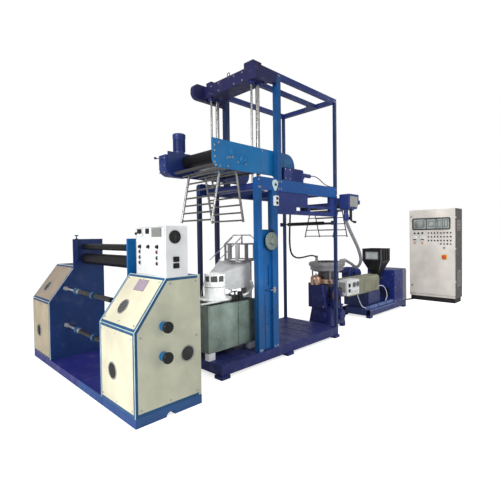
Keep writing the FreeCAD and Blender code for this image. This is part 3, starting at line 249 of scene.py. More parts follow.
# Twin legs: bright blue on the near leg and a dark navy copy beyond Y 0.5 on the far leg, painted shade.
LEGS_LIT_NEAR_SHADED_FAR = zoned("paint_legs_painted_shade_far", (0.003, 0.082, 0.27), [((None, 0.5, None), ANY, (0.014, 0.018, 0.065))],
    rough=0.32, coat=0.4, wear=0.4)
# Mid beams: bright blue in front and a navy copy beyond Y 0.5 behind, painted shade.
BEAMS_LIT_NEAR_SHADED_FAR = zoned("paint_beams_painted_shade_far", (0.003, 0.08, 0.31), [((None, 0.5, None), ANY, (0.01, 0.026, 0.14))],
    rough=0.32, coat=0.4, wear=0.4)
CABINET = zoned("paint_cabinet_plinth", (0.7, 0.66, 0.61),
    [(ANY, (None, None, 0.1), (0.01, 0.008, 0.01)), (ANY, (None, -0.452, None), (0.12, 0.115, 0.11))],
    rough=0.45, coat=0.15, wear=0.35)
EXBASE = zoned("paint_extruder_base", (0.02, 0.034, 0.14),
    [((None, None, 0.13), (4.625, 0.285, 0.23), (0.1, 0.15, 0.36))], rough=0.4, wear=0.6)
GEARBOX = zoned("paint_gearbox", (0.014, 0.028, 0.19), [((5.0, None, None), ANY, (0.2, 0.205, 0.225))],
    rough=0.36, wear=0.5)
GANTRY = zoned("paint_gantry", (0.016, 0.016, 0.085), [((None, 0.99, None), (0.66, None, None),
    (0.16, 0.16, 0.15))], rough=0.42, coat=0.2, wear=0.6)
# Near winder housing: its teal is the lit copy of the blue that the far housing shows in shade. The zones
# on its near side take the panels' darkened cream, painted shade.
NEAR_HOUSING_LIT = zoned("paint_near_housing_lit_with_shaded_side", (0.012, 0.095, 0.22),
    [((None, None, 1.152), ANY, (0.006, 0.16, 0.46)), ((-0.489, None, None), (None, -0.2, 1.15),
    (0.6, 0.61, 0.47)), (ANY, (None, -0.2565, 0.104), (0.6, 0.61, 0.47))], rough=0.36, wear=0.5)
# Far winder housing: a navy copy of the near housing's teal, painted shade.
FAR_HOUSING_SHADED = zoned("paint_far_housing_shaded", (0.013, 0.04, 0.15),
    [((None, None, 1.152), ANY, (0.012, 0.03, 0.13))], rough=0.36, wear=0.5)
# Winder base: navy, with its near side and front in lighter teal copies of the same paint, painted light
# where the light falls.
WINDER_BASE_LIT_SIDES = zoned("paint_winder_base_lit_sides", (0.022, 0.024, 0.2),
    [(ANY, (None, -0.25, None), (0.03, 0.1, 0.28)), ((None, -0.25, None), (-1.098, 0.9, None),
    (0.014, 0.07, 0.26))], rough=0.4, wear=0.7)


def around(n, start=0):
    """n directions round a circle, each as its cosine and sine."""
    for i in range(n):
        t = math.radians(360 / n * i + start)
        yield math.cos(t), math.sin(t)


def frame_at(at, way):
    """A frame at a point, with its Z along a way."""
    return Matrix.Translation(at) @ Vector(way).to_track_quat("Z", "Y").to_matrix().to_4x4()


def to_space(p, depth, axis):
    """A point of a flat outline, at a depth along the axis that the outline faces."""
    return {"y": (p[0], depth, p[1]), "x": (depth, p[0], p[1]), "z": (p[0], p[1], depth)}[axis]


def new_object(name, data):
    ob = bpy.data.objects.new(name, data)
    bpy.context.scene.collection.objects.link(ob)
    return ob


# Pieces: each gathers its shapes in one mesh, and rides on one body.
class Piece:
    def __init__(self, name, material, body="line"):
        self.name, self.material, self.body, self.bm = name, material, body, bmesh.new()

    def _soften(self, verts, width, segments=2):
        if width <= 0:
            return
        edges = {e for v in verts for e in v.link_edges}
        sharp = [e for e in edges if len(e.link_faces) == 2 and e.calc_face_angle(0) > 0.6]
        bmesh.ops.bevel(self.bm, geom=sharp, offset=width, segments=segments, affect="EDGES",
            clamp_overlap=True)

    def box(self, lo, hi, bevel=0.002, turn=None):
        lo, hi = Vector(lo), Vector(hi)
        m = Matrix.Translation((lo + hi) / 2) @ Matrix.Diagonal((*(hi - lo), 1))
        if turn:
            m = turn @ m
        self._soften(bmesh.ops.create_cube(self.bm, size=1, matrix=m)["verts"], bevel)
        return self

    def rod(self, a, b, r, seg=24, bevel=0.0, r2=None):
        a, b = Vector(a), Vector(b)
        made = bmesh.ops.create_cone(self.bm, cap_ends=True, segments=seg, radius1=r,
            radius2=r if r2 is None else r2, depth=(b - a).length,
            matrix=frame_at((a + b) / 2, b - a))["verts"]
        self._soften(made, bevel)
        return self

    def lathe(self, at, along, profile, seg=40):
        """A profile of (radius, distance) turned about a line from at."""
        m = frame_at(at, along)
        rings = []
        for r, h in profile:
            if r < 1e-6:
                rings.append([self.bm.verts.new(m @ Vector((0, 0, h)))])
            else:
                rings.append([self.bm.verts.new(m @ Vector((r * c, r * s, h))) for c, s in around(seg)])
        for a, b in zip(rings, rings[1:]):
            for i in range(seg):
                j = (i + 1) % seg
                if len(a) == 1 and len(b) == 1:
                    continue
                if len(a) == 1:
                    self.bm.faces.new((a[0], b[j], b[i]))
                elif len(b) == 1:
                    self.bm.faces.new((a[i], a[j], b[0]))
                else:
                    self.bm.faces.new((a[i], a[j], b[j], b[i]))
        return self

    def turned(self, at, along, profile_mm, seg=40):
        """The same, with the profile in millimetres."""
        return self.lathe(at, along, [(r / 1000, h / 1000) for r, h in profile_mm], seg)

    def plate(self, outline, depth, bevel=0.0, axis="y"):
        """A flat outline of two coordinates, thickened along the third from depth[0] to depth[1]."""
        low, high = [[self.bm.verts.new(to_space(p, d, axis)) for p in outline] for d in depth]
        self.bm.faces.new(low)
        self.bm.faces.new(list(reversed(high)))
        for i in range(len(outline)):
            j = (i + 1) % len(outline)
            self.bm.faces.new((low[i], high[i], high[j], low[j]))
        self._soften(low + high, bevel)
        return self

    def sweep(self, points, r, seg=12):
        """A round bar along straight runs, with rounded joints."""
        for a, b in zip(points, points[1:]):
            self.rod(a, b, r, seg)
        for p in points[1:-1]:
            bmesh.ops.create_uvsphere(self.bm, u_segments=seg, v_segments=8, radius=r,
                matrix=Matrix.Translation(p))
        return self

    def hoop(self, at, along, r, half, height):
        """A flat ring whose square section is 2 * half wide."""
        section = ((r - half, 0), (r - half, height), (r + half, height), (r + half, 0), (r - half, 0))
        return self.lathe(at, along, section, 30)

    def screw(self, at, along, r=0.009):
        """A screw with a domed head."""
        return self.lathe(at, along, ((r, 0), (r, r * 0.35), (r * 0.7, r * 0.62), (0, r * 0.7)), 14)

    def bolt(self, at, along, r=0.012):
        """A hexagon bolt on its washer."""
        a, d = Vector(at), Vector(along).normalized()
        self.rod(a, a + d * r * 0.25, r * 1.35, 18)
        return self.rod(a + d * r * 0.25, a + d * r * 0.95, r, 6, r * 0.08)

    def done(self, *nodes, angle=35):
        bmesh.ops.recalc_face_normals(self.bm, faces=self.bm.faces[:])
        me = bpy.data.meshes.new(self.name)
        self.bm.to_mesh(me)
        self.bm.free()
        for p in me.polygons:
            p.use_smooth = True
        me.set_sharp_from_angle(angle=math.radians(angle))
        ob = new_object(self.name, me)
        me.materials.append(self.material)
        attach(ob, self.body)
        if nodes:
            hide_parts(*nodes)


# CAD nodes that keep their mesh get a better material and softened edges.
EDGE_ANGLE = 0.7


def finish_node(name, material, bevel):
    ob = NODES[name]
    for i in range(max(1, len(ob.material_slots))):
        if i < len(ob.data.materials):
            ob.data.materials[i] = material
        else:
            ob.data.materials.append(material)
    if bevel:
        mod = ob.modifiers.new("edge", "BEVEL")
        mod.width = bevel
        mod.segments = 2
        mod.limit_method = "ANGLE"
        mod.angle_limit = EDGE_ANGLE


FINISH = (
    (NEAR_HOUSING_LIT, 0.004, "near_housing"),
    (FAR_HOUSING_SHADED, 0.004, "far_housing"),
    (WINDER_BASE_LIT_SIDES, 0.004, "winder_base"),
    (PANELS_WITH_PAINTED_SHADE, 0.0015, "housing_panels"),
    (RUBBER, 0.002, "upper_roller lower_roller guide_roller first_nip_roller_a"),
    (SHAFT, 0.002, "upper_winding_shaft lower_winding_shaft"),
    (WHITE, 0.0, "control_box fan_box"),
    (DEEP, 0.005, "tower_base"),
    (LEGS_LIT_NEAR_SHADED_FAR, 0.006, "twin_legs"),
    (POSTS_SHADED_WITH_LIT_NEAR, 0.005, "tower_posts"),
    (BEAMS_LIT_NEAR_SHADED_FAR, 0.005, "mid_beams"),
    (NAVY, 0.003, "mid_cross_frame carriage_drive nip_frame"),
    (NAVY, 0.005, "top_frame"),
    (GANTRY, 0.006, "rod_gantry"),
    (CHROME, 0.002, "guide_rods"),
    (CARRIAGE_SHADED_FAR, 0.004, "carriage_frame"),
    (RUBBER, 0.003, "rubber_nip_roller"),
    (STEEL, 0.003, "steel_nip_roller"),
    (CHROME, 0.0, "collapsing_frame"),
    (NAVY, 0.0, "nip_motor_box"),
    (STEEL, 0.002, "first_nip_roller_b"),
    (DARKSTEEL, 0.0, "first_collapsing_frame"),
    (GLASS, 0.002, "water_tank"),
    (WHITE, 0.003, "tank_pads"),
    (IVORY, 0.002, "sizing_ring"),
    (ALU, 0.001, "bath_cowl"),
    (ALU_DULL, 0.001, "bubble_cage"),
    (EXBASE, 0.004, "extruder_base"),
    (GEARBOX, 0.006, "gearbox_housing"),
    (DEEP, 0.006, "blower die_stand"),
    (OLIVE, 0.003, "barrel_cover"),
    (STEEL_X, 0.0, "barrel"),
    (BLACK, 0.003, "hopper"),
    (DARKSTEEL, 0.002, "die_head"),
    (ALU_DULL, 0.003, "air_ring"),
    (CABINET, 0.004, "cabinet_body"),
    (BEIGE, 0.004, "cabinet_door"),
)
for node_material, node_bevel, node_names in FINISH:
    for node_name in node_names.split():
        finish_node(node_name, node_material, node_bevel)


# Hoses and cables follow the same points as the solids, in metres.
ROUTES = {
    "inflation_pipe": (0.012, PLASTIC, "stiff", "loose", (
        (1.425, 0.217, 2.0196), (1.421, 0.217, 1.79), (1.404, 0.217, 1.56), (1.402, 0.22, 1.37),
        (1.45, 0.232, 1.235), (1.59, 0.262, 1.175), (1.82, 0.33, 1.165), (2.13, 0.425, 1.178),
        (2.34, 0.49, 1.168), (2.475, 0.533, 1.135))),
    "air_hose": (0.023, HOSE_MAT, "limp", "hanging", (
        (2.348, -0.074, 1.69), (2.38, -0.106, 1.57), (2.428, -0.14, 1.452), (2.523, -0.178, 1.271),
        (2.69, -0.133, 1.085), (2.868, 0.042, 0.95), (2.926, 0.19, 1.03), (2.912, 0.272, 1.068))),
    "drive_lead": (0.006, PLASTIC, "medium", "loose", (
        (1.6134, 0.035, 2.27), (1.69, 0.035, 2.286), (1.81, 0.036, 2.268), (1.92, 0.035, 2.214),
        (2.02, 0.036, 2.181), (2.125, 0.035, 2.174), (2.1912, 0.03, 2.176))),
    "heater_lead_left": (0.006, IVORY, "limp", "hanging", (
        (3.428, 0.348, 0.433), (3.44, 0.322, 0.35), (3.455, 0.296, 0.262), (3.5, 0.272, 0.206),
        (3.575, 0.258, 0.188))),
    "heater_lead_right": (0.006, IVORY, "limp", "loose", (
        (4.2415, 0.35, 0.5), (4.33, 0.335, 0.52), (4.43, 0.305, 0.455), (4.455, 0.28, 0.335),
        (4.39, 0.258, 0.253), (4.31, 0.248, 0.227))),
    "floor_cable": (0.014, PLASTIC, "medium", "loose", (
        (5.163, 0.56, 0.093), (5.33, 0.558, 0.078), (5.56, 0.545, 0.018), (5.86, 0.5, 0.015),
        (6.02, 0.44, 0.015), (6.1158, 0.412, 0.015))),
}


def lay_cord(name, radius, material, stiffness, lay, points):
    curve = bpy.data.curves.new(name + "_line", "CURVE")
    curve.dimensions = "3D"
    curve.bevel_depth = radius
    curve.bevel_resolution = 5
    curve.resolution_u = 16
    curve.use_fill_caps = True
    spline = curve.splines.new("NURBS")
    spline.points.add(len(points) - 1)
    for p, co in zip(spline.points, points):
        p.co = (*co, 1)
    spline.order_u = 3
    spline.use_endpoint_u = True
    ob = new_object(name + "_line", curve)
    curve.materials.append(material)
    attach(ob, "line")
    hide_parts(name)


for cord_name, facts in ROUTES.items():
    lay_cord(cord_name, *facts)


# Winder: trim strips, screws, vents and the control box.
WX, WY, WD, HW, WGAP = -1.1, -0.257, 0.64, 0.62, 1.388
WBASE, WBEND, WTOP, WSLANT = 0.08, 0.75, 1.15, 0.293
FAR_IN = WY + HW + WGAP
SLOPE = math.hypot(WSLANT, WTOP - WBEND)
UX, UZ = WSLANT / SLOPE, (WTOP - WBEND) / SLOPE


def along_slope(t, out=0.0):
    """A point up the sloped front, t metres from the bend and out from its face."""
    return WX + UX * t - UZ * out, WBEND + UZ * t + UX * out


def edge_strips(piece, y0, y1, side_y):
    """The pale edges of the strips that frame the panels of one housing."""
    w = 0.007
    side = [(WX + WD, WTOP), (WX + WSLANT, WTOP), (WX, WBEND), (WX, WBASE)]
    for (xa, za), (xb, zb) in zip(side, side[1:]):
        piece.rod((xa, side_y, za), (xb, side_y, zb), w * 0.5, 10)
    for y in (y0, y1):
        piece.rod((WX, y, WBASE), (WX, y, WBEND), w * 0.5, 10)
        a, b = along_slope(0), along_slope(SLOPE)
        piece.rod((a[0], y, a[1]), (b[0], y, b[1]), w * 0.5, 10)
    piece.rod((WX, y0, WBEND), (WX, y1, WBEND), w * 0.5, 10)
    piece.rod((WX + WSLANT, y0, WTOP), (WX + WSLANT, y1, WTOP), w * 0.5, 10)


p = Piece("winder_trim_edges", PALE)
edge_strips(p, WY + 0.004, WY + HW - 0.004, WY + 0.003)
edge_strips(p, FAR_IN + 0.004, FAR_IN + HW - 0.004, FAR_IN + HW - 0.003)
p.done()

p = Piece("winder_screws", STEEL)
for y0 in (WY, FAR_IN):
    for y in (y0 + 0.05, y0 + HW / 2, y0 + HW - 0.05):
        for z in (WBASE + 0.05, WBEND - 0.05):
            p.screw((WX - 0.003, y, z), LEFT)
        for t in (0.05, SLOPE - 0.05):
            x, z = along_slope(t, 0.003)
            p.screw((x, y, z), (-UZ, 0, UX))
for side_y, sign in ((WY, -1), (FAR_IN + HW, 1)):
    for x, z in ((WX + 0.05, 0.13), (WX + WD - 0.05, 0.13), (WX + WD - 0.05, 0.62), (WX + WD - 0.05, 1.1),
            (WX + 0.33, 1.1), (WX + 0.05, 0.7), (WX + 0.32, 0.13)):
        p.screw((x, side_y, z) if sign < 0 else (x, side_y - 0.0055, z), (0, sign, 0))
p.done()


def vent(frame_piece, slat_piece, at, out, up, r):
    """A round louvred vent: a raised rim with slats across it."""
    out, up = Vector(out).normalized(), Vector(up).normalized()
    across = out.cross(up)
    frame_piece.lathe(at, out, ((r, -0.006), (r, 0.004), (r * 0.93, 0.007), (r * 0.86, 0.004),
        (r * 0.86, 0.0), (0, 0.0)), 40)
    n = 9
    for i in range(n):
        h = (i - (n - 1) / 2) * r * 0.185
        half = math.sqrt(max(0.0, (r * 0.84) ** 2 - h * h))
        c = Vector(at) + up * h + out * 0.002
        slat_piece.rod(c - across * half, c + across * half, 0.0042, 8)


vents = Piece("vent_rims", GREY)
slats = Piece("vent_slats", DARKGREY)
for y0 in (WY, FAR_IN):
    vent(vents, slats, (WX - 0.003, y0 + 0.38, 0.37), LEFT, UP, 0.075)
    x, z = along_slope(0.36 * SLOPE, 0.003)
    vent(vents, slats, (x, y0 + 0.38, z), (-UZ, 0, UX), (UX, 0, UZ), 0.07)
vent(vents, slats, (WX + 0.493, WY, 0.483), NEAR, UP, 0.07)
vents.done("round_vents")
slats.done()


# Control box face
BX, BY0, BY1, BZ = WX + WSLANT, WY, WY + 0.497, WTOP
TOPZ = BZ + 0.432


def on_face(s, h, out=0.0):
    """A point on the control box's front, s from its far edge and h below its top."""
    return (BX - out, BY1 - s, TOPZ - h)


p = Piece("box_door_edge", GREY)
for a, b in (((0.012, 0.01), (0.485, 0.01)), ((0.485, 0.01), (0.485, 0.422)),
        ((0.485, 0.422), (0.012, 0.422)), ((0.012, 0.422), (0.012, 0.01))):
    p.rod(on_face(*a), on_face(*b), 0.0018, 8)
p.done()
Piece("box_meter", IVORY).box(on_face(0.135, 0.086, 0.01), on_face(0.04, 0.014), 0.003).done("box_controls")
p = Piece("box_dark_parts", PLASTIC)
p.box(on_face(0.128, 0.062, 0.0115), on_face(0.047, 0.02, 0.009), 0.001)
p.rod(on_face(0.088, 0.074, 0.012), on_face(0.108, 0.03, 0.014), 0.0014, 8)
p.box(on_face(0.24, 0.064, 0.006), on_face(0.18, 0.018), 0.002)
for s in (0.08, 0.225, 0.37):
    y = BY1 - s
    p.turned((BX, y, TOPZ - 0.177), LEFT, ((19, 0), (19, 3), (13, 5), (12, 18), (10, 20), (0, 20)), 24)
    p.box((BX - 0.022, y - 0.002, TOPZ - 0.187), (BX - 0.018, y + 0.002, TOPZ - 0.167), 0.0005)
p.rod(on_face(0.028, 0.06), on_face(0.028, 0.06, 0.02), 0.012, 20, 0.002)
p.done()
p = Piece("box_louvre", GREY)
p.box(on_face(0.44, 0.094, 0.003), on_face(0.28, 0.014), 0.001)
for i in range(9):
    z = TOPZ - 0.022 - i * 0.0083
    p.box((BX - 0.008, BY1 - 0.434, z - 0.0022), (BX - 0.002, BY1 - 0.286, z + 0.0022), 0.0008)
p.done()
p = Piece("button_bezels", STEEL)
for column, h in product((0.075, 0.365), (0.222, 0.272, 0.32)):
    p.turned(on_face(column, h), LEFT, ((19, 0), (19, 4), (15, 6), (14.5, 2)), 24)
p.done()
for colour, h, label in ((RED, 0.222, "red"), (GREEN, 0.272, "green"), (DARKRED, 0.32, "dark_red")):
    p = Piece("box_button_" + label, colour)
    for column in (0.075, 0.365):
        p.turned(on_face(column, h), LEFT, ((14, 0), (14, 9), (11, 12), (0, 12.5)), 24)
    p.done()
side_fan = Piece("box_fan", PLASTIC)
fx, fz = BX + 0.09, TOPZ - 0.094
side_fan.turned((fx, WY, fz), NEAR, ((56, 0), (56, 8), (51, 10), (48, 8), (48, 1), (0, 1)), 36)
for k in (0.011, 0.021, 0.031, 0.041):
    side_fan.hoop((fx, WY - 0.006, fz), NEAR, k, 0.0016, 0.003)
fan_wires = Piece("box_fan_guard", DARKGREY)
for i in range(4):
    t = math.pi * i / 4
    d = Vector((math.cos(t), 0, math.sin(t))) * 0.05
    fan_wires.rod(Vector((fx, WY - 0.01, fz)) - d, Vector((fx, WY - 0.01, fz)) + d, 0.0016, 8)
for k in (0.017, 0.033, 0.048):
    fan_wires.hoop((fx, WY - 0.0085, fz), NEAR, k, 0.0011, 0.0022)
fan_wires.done()
side_fan.done()
p = Piece("box_sockets", PLASTIC)
for h in (0.282, 0.337):
    p.box((BX + 0.07, WY - 0.008, TOPZ - h - 0.022), (BX + 0.13, WY, TOPZ - h + 0.022), 0.003)
    p.rod((BX + 0.1, WY - 0.008, TOPZ - h), (BX + 0.1, WY - 0.012, TOPZ - h), 0.014, 24, 0.001)
p.done()

# Hand knobs, one on each body
for label, z, x in (("upper_knob", 0.761, WX + 0.256), ("lower_knob", 0.515, WX + 0.251)):
    p = Piece(label + "_hub", TEAL, label)
    p.turned((x, WY - 0.0003, z), NEAR, ((0, 0), (34, 0), (39, 4), (39, 20), (35, 22), (35, 26), (39, 28),
        (39, 48), (34, 52), (30, 58), (0, 58)), 40)
    p.done(label)
    p = Piece(label + "_cap", PLASTIC, label)
    p.turned((x, WY - 0.0003, z), NEAR, ((0, 57.5), (36, 57.5), (45, 62), (46, 70), (46, 84), (42, 90.5),
        (14, 91.7), (0, 91.7)), 40)
    for c, s in around(20):
        dx, dz = 0.0458 * c, 0.0458 * s
        p.rod((x + dx, WY - 0.066, z + dz), (x + dx, WY - 0.086, z + dz), 0.0022, 8)
    p.done()
# A bare plate on the slope, where the photo has a printed one
px, pz = along_slope(0.8 * SLOPE, 0.0045)
plate_turn = Matrix.Translation((px, WY + 0.3, pz)) @ Matrix.Rotation(math.atan2(WSLANT, WTOP - WBEND), 4,
    "Y")
Piece("bare_plate", PLATE).box((-0.0015, -0.082, -0.05), (0.0015, 0.082, 0.05), 0.001, plate_turn).done()
p = Piece("bare_plate_rim", STEEL)
for a, b in (((0, -0.084, -0.052), (0, 0.084, -0.052)), ((0, 0.084, -0.052), (0, 0.084, 0.052)),
        ((0, 0.084, 0.052), (0, -0.084, 0.052)), ((0, -0.084, 0.052), (0, -0.084, -0.052))):
    p.rod(plate_turn @ Vector(a), plate_turn @ Vector(b), 0.002, 8)
p.done()


def round_rect(a0, a1, b0, b1, r, n=6):
    """The outline of a rectangle with rounded corners."""
    out = []
    for ca, cb, t0 in ((a1 - r, b1 - r, 0), (a0 + r, b1 - r, 90), (a0 + r, b0 + r, 180),
            (a1 - r, b0 + r, 270)):
        for i in range(n + 1):
            t = math.radians(t0 + 90 * i / n)
            out.append((ca + r * math.cos(t), cb + r * math.sin(t)))
    return out


def ring_plate(piece, outer, inner, depth, axis):
    """A flat frame between two outlines with the same number of points."""
    o0, o1, i0, i1 = [[piece.bm.verts.new(to_space(p, d, axis)) for p in line] for line in (outer,
        inner) for d in depth]
    n = len(outer)
    for k in range(n):
        j = (k + 1) % n
        for a, b in ((o0, o1), (o1, i1), (i1, i0), (i0, o0)):
            piece.bm.faces.new((a[k], a[j], b[j], b[k]))


# Cabinet door: window, buttons, meters, lamps, switches and locks
DOOR = 6.077
p = Piece("window_frame", PLASTIC, "cabinet_door")
ring_plate(p, round_rect(-0.369, 0.424, 1.57, 1.83, 0.035), round_rect(-0.345, 0.4, 1.594, 1.806, 0.022),
    (DOOR - 0.006, DOOR), "x")
for y in (0.116, -0.081, -0.219):
    p.box((DOOR - 0.0055, y - 0.006, 1.594), (DOOR - 0.001, y + 0.006, 1.806), 0.001)
p.done("door_window")
p = Piece("window_panes", PANE, "cabinet_door")
for y0, y1 in ((0.122, 0.4), (-0.075, 0.11), (-0.213, -0.087), (-0.345, -0.225)):
    p.box((DOOR - 0.0035, y0, 1.594), (DOOR - 0.0005, y1, 1.806), 0.0006)
p.done()
p = Piece("window_instruments", DARKGREY, "cabinet_door")
for y0, y1, z0, z1 in ((0.18, 0.345, 1.625, 1.775), (-0.045, 0.08, 1.64, 1.76),
        (-0.19, -0.11, 1.62, 1.78), (-0.32, -0.25, 1.62, 1.78)):
    ring_plate(p, round_rect(y0, y1, z0, z1, 0.008), round_rect(y0 + 0.01, y1 - 0.01, z0 + 0.01,
        z1 - 0.01, 0.004), (DOOR - 0.0042, DOOR - 0.0034), "x")
p.done()

GRID_Y = [0.074 - 0.064 * i for i in range(8)]
knob_at = [(y, 1.5) for y in (0.369, 0.289, 0.204)]
knob_at += [(y, z) for z in (1.5, 1.418, 1.336) for y in GRID_Y]
knob_at += [(y, 1.263) for y in GRID_Y[4:]]
knobs = Piece("cabinet_buttons", PLASTIC, "cabinet_door")
rims = Piece("cabinet_button_rims", STEEL, "cabinet_door")
for k, (y, z) in enumerate(knob_at):
    r = 0.024 if k < 3 else 0.019
    rims.lathe((DOOR, y, z), LEFT, ((r, 0), (r, 0.003), (r * 0.84, 0.005), (r * 0.8, 0.002)), 24)
    knobs.lathe((DOOR, y, z), LEFT, ((r * 0.8, 0), (r * 0.8, 0.012), (r * 0.62, 0.016), (0, 0.0165)), 24)
knobs.done("door_controls")
rims.done()
meters = Piece("cabinet_meters", IVORY, "cabinet_door")
hands = Piece("cabinet_meter_hands", PLASTIC, "cabinet_door")
lamps = Piece("cabinet_lamps", AMBER, "cabinet_door")
lamp_rims = Piece("cabinet_lamp_rims", STEEL, "cabinet_door")
for y in (0.369, 0.204):
    z = 1.385
    meters.plate(round_rect(y - 0.045, y + 0.045, z - 0.045, z + 0.045, 0.008), (DOOR - 0.012, DOOR),
        0.001, "x")
    hands.box((DOOR - 0.0128, y - 0.038, z - 0.038), (DOOR - 0.0118, y + 0.038, z - 0.016), 0.0003)
    hands.rod((DOOR - 0.013, y, z - 0.016), (DOOR - 0.013, y + 0.022, z + 0.026), 0.0012, 8)
    for i in range(9):
        t = math.radians(30 + 15 * i)
        a = Vector((DOOR - 0.0124, y + 0.03 * math.cos(t), z - 0.012 + 0.03 * math.sin(t)))
        b = Vector((DOOR - 0.0124, y + 0.037 * math.cos(t), z - 0.012 + 0.037 * math.sin(t)))
        hands.rod(a, b, 0.0008, 6)
    lamp_rims.turned((DOOR, y, 1.285), LEFT, ((22, 0), (22, 4), (18, 6), (17, 2)), 24)
    lamps.turned((DOOR, y, 1.285), LEFT, ((17, 0), (17, 10), (12, 16), (0, 18)), 24)
meters.done()
hands.done()
lamps.done()
lamp_rims.done()
p = Piece("cabinet_key_switch", CHROME, "cabinet_door")
p.turned((DOOR, -0.244, 1.179), LEFT, ((20, 0), (20, 6), (16, 9), (0, 9)), 28)
p.box((DOOR - 0.026, -0.246, 1.166), (DOOR - 0.009, -0.242, 1.192), 0.001)
for y, z in ((0.445, 1.869), (0.429, 0.328)):
    p.turned((DOOR, y, z), LEFT, ((20, 0), (20, 4), (14, 8), (0, 8)), 28)
    p.box((DOOR - 0.012, y - 0.003, z - 0.01), (DOOR - 0.008, y + 0.003, z + 0.01), 0.0008)
p.done()
Piece("main_switch_plate", YELLOW, "cabinet_door").plate(round_rect(-0.296, -0.192, 0.928, 1.032, 0.012),
    (DOOR - 0.006, DOOR), 0.001, "x").done()
p = Piece("main_switch_handle", ORANGE, "cabinet_door")
p.turned((DOOR - 0.006, -0.244, 0.98), LEFT, ((44, 0), (44, 10), (40, 14), (30, 16), (0, 16)), 36)
p.box((DOOR - 0.04, -0.255, 0.94), (DOOR - 0.018, -0.233, 1.02), 0.004)
p.done()
p = Piece("door_seals", DARKGREY, "line")
for y0, y1, z0, z1 in ((-0.459, -0.456, 0.156, 2.01), (0.488, 0.491, 0.156, 2.01)):
    p.box((6.0995, y0 - 0.001, z0), (6.1015, y1 + 0.001, z1), 0.0004)
p.box((6.0995, -0.456, 0.15), (6.1015, 0.488, 0.156), 0.0004)
p.done()
p = Piece("cabinet_louvres", BEIGE)
for z in [0.35 + 0.03 * i for i in range(12)] + [1.55 + 0.03 * i for i in range(8)]:
    p.box((6.2, -0.465, z), (6.45, -0.4585, z + 0.008), 0.002)
    p.box((6.2, 0.4935, z), (6.45, 0.5, z + 0.008), 0.002)
p.done()

# Tower: fittings on the legs and beams
disc = Piece("leg_disc", DISC)
disc.turned((0.786, 0.0, 1.424), NEAR, ((0, 0), (100, 0), (105, 4), (105, 12), (100, 16), (90, 14),
    (84, 16), (40, 16), (38, 20), (36, 40), (28, 44), (0, 45)), 60)
for c, s in around(6, 20):
    disc.turned((0.786 + 0.064 * c, -0.016, 1.424 + 0.064 * s), NEAR, ((8, 0), (8, 4), (0, 6)), 12)
drop = Piece("beam_drop", PALECYAN)
drop_line = [(0.862 + 0.045 * math.cos(math.radians(t)), 2.105 + 0.045 * math.sin(math.radians(t)))
    for t in range(-30, 211, 12)]
drop_line += [(0.853, 2.02), (0.871, 2.02)]
drop.plate(drop_line, (-0.014, 0.0), 0.002)
switch = Piece("leg_switch_box", WHITE)
switch.plate(round_rect(0.834, 0.894, 1.84, 1.96, 0.01), (-0.034, 0.0), 0.002)
disc.done("post_fittings")
drop.done()
switch.done()
p = Piece("leg_dark_bits", PLASTIC)
p.turned((0.862, -0.014, 2.09), NEAR, ((16, 0), (16, 6), (10, 10), (0, 10)), 24)
for z in (1.873, 1.927):
    p.turned((0.864, -0.034, z), NEAR, ((18, 0), (18, 6), (13, 10), (0, 10)), 24)
p.box((0.776, -0.03, 1.53), (0.812, 0.0, 1.556), 0.004)
p.box((0.7, 0.026, 0.84), (0.745, 0.0305, 0.852), 0.001)
p.done()
p = Piece("leg_latch", STEEL)
p.box((0.805, -0.012, 0.815), (0.85, 0.0, 0.88), 0.003)
p.rod((0.76, -0.006, 0.848), (0.806, -0.006, 0.848), 0.006, 14, 0.001)
p.rod((0.826, -0.012, 0.848), (0.826, -0.03, 0.848), 0.008, 16, 0.001)
p.done()
p = Piece("leg_web_seam", DARKNAVY)
p.box((0.742, 0.0395, 0.88), (0.786, 0.0425, 1.17), 0.001)
p.rod((0.7, 0.031, 0.16), (0.7, 0.031, 0.8), 0.003, 8)
p.rod((0.636, 0.0305, 1.557), (0.811, 0.0305, 1.557), 0.003, 8)
p.done()

p = Piece("tower_bolts", STEEL)
for x, z in ((0.586, 2.045), (0.612, 2.045), (0.586, 2.13), (0.93, 2.05), (0.98, 2.05), (0.93, 2.135),
        (0.98, 2.135), (2.208, 2.05), (2.208, 2.13), (0.586, 0.175), (0.612, 0.175), (0.84, 0.175),
        (0.885, 0.175)):
    p.bolt((x, 0.0, z), NEAR, 0.009)
    if x > 0.9 or z > 2:
        p.bolt((x, 0.99, z), FAR, 0.009)
for x, z in ((0.945, 3.395), (0.968, 3.395), (2.205, 3.395), (2.185, 3.395)):
    p.bolt((x, 0.0, z), NEAR, 0.009)
    p.bolt((x, 0.99, z), FAR, 0.009)
p.done()

p = Piece("deck_pattern", DEEP)
for i in range(1, 8):
    x = 0.02 + i * 0.276
    p.box((x - 0.002, 0.08, 0.1495), (x + 0.002, 0.985, 0.1525), 0.0006)
p.done()

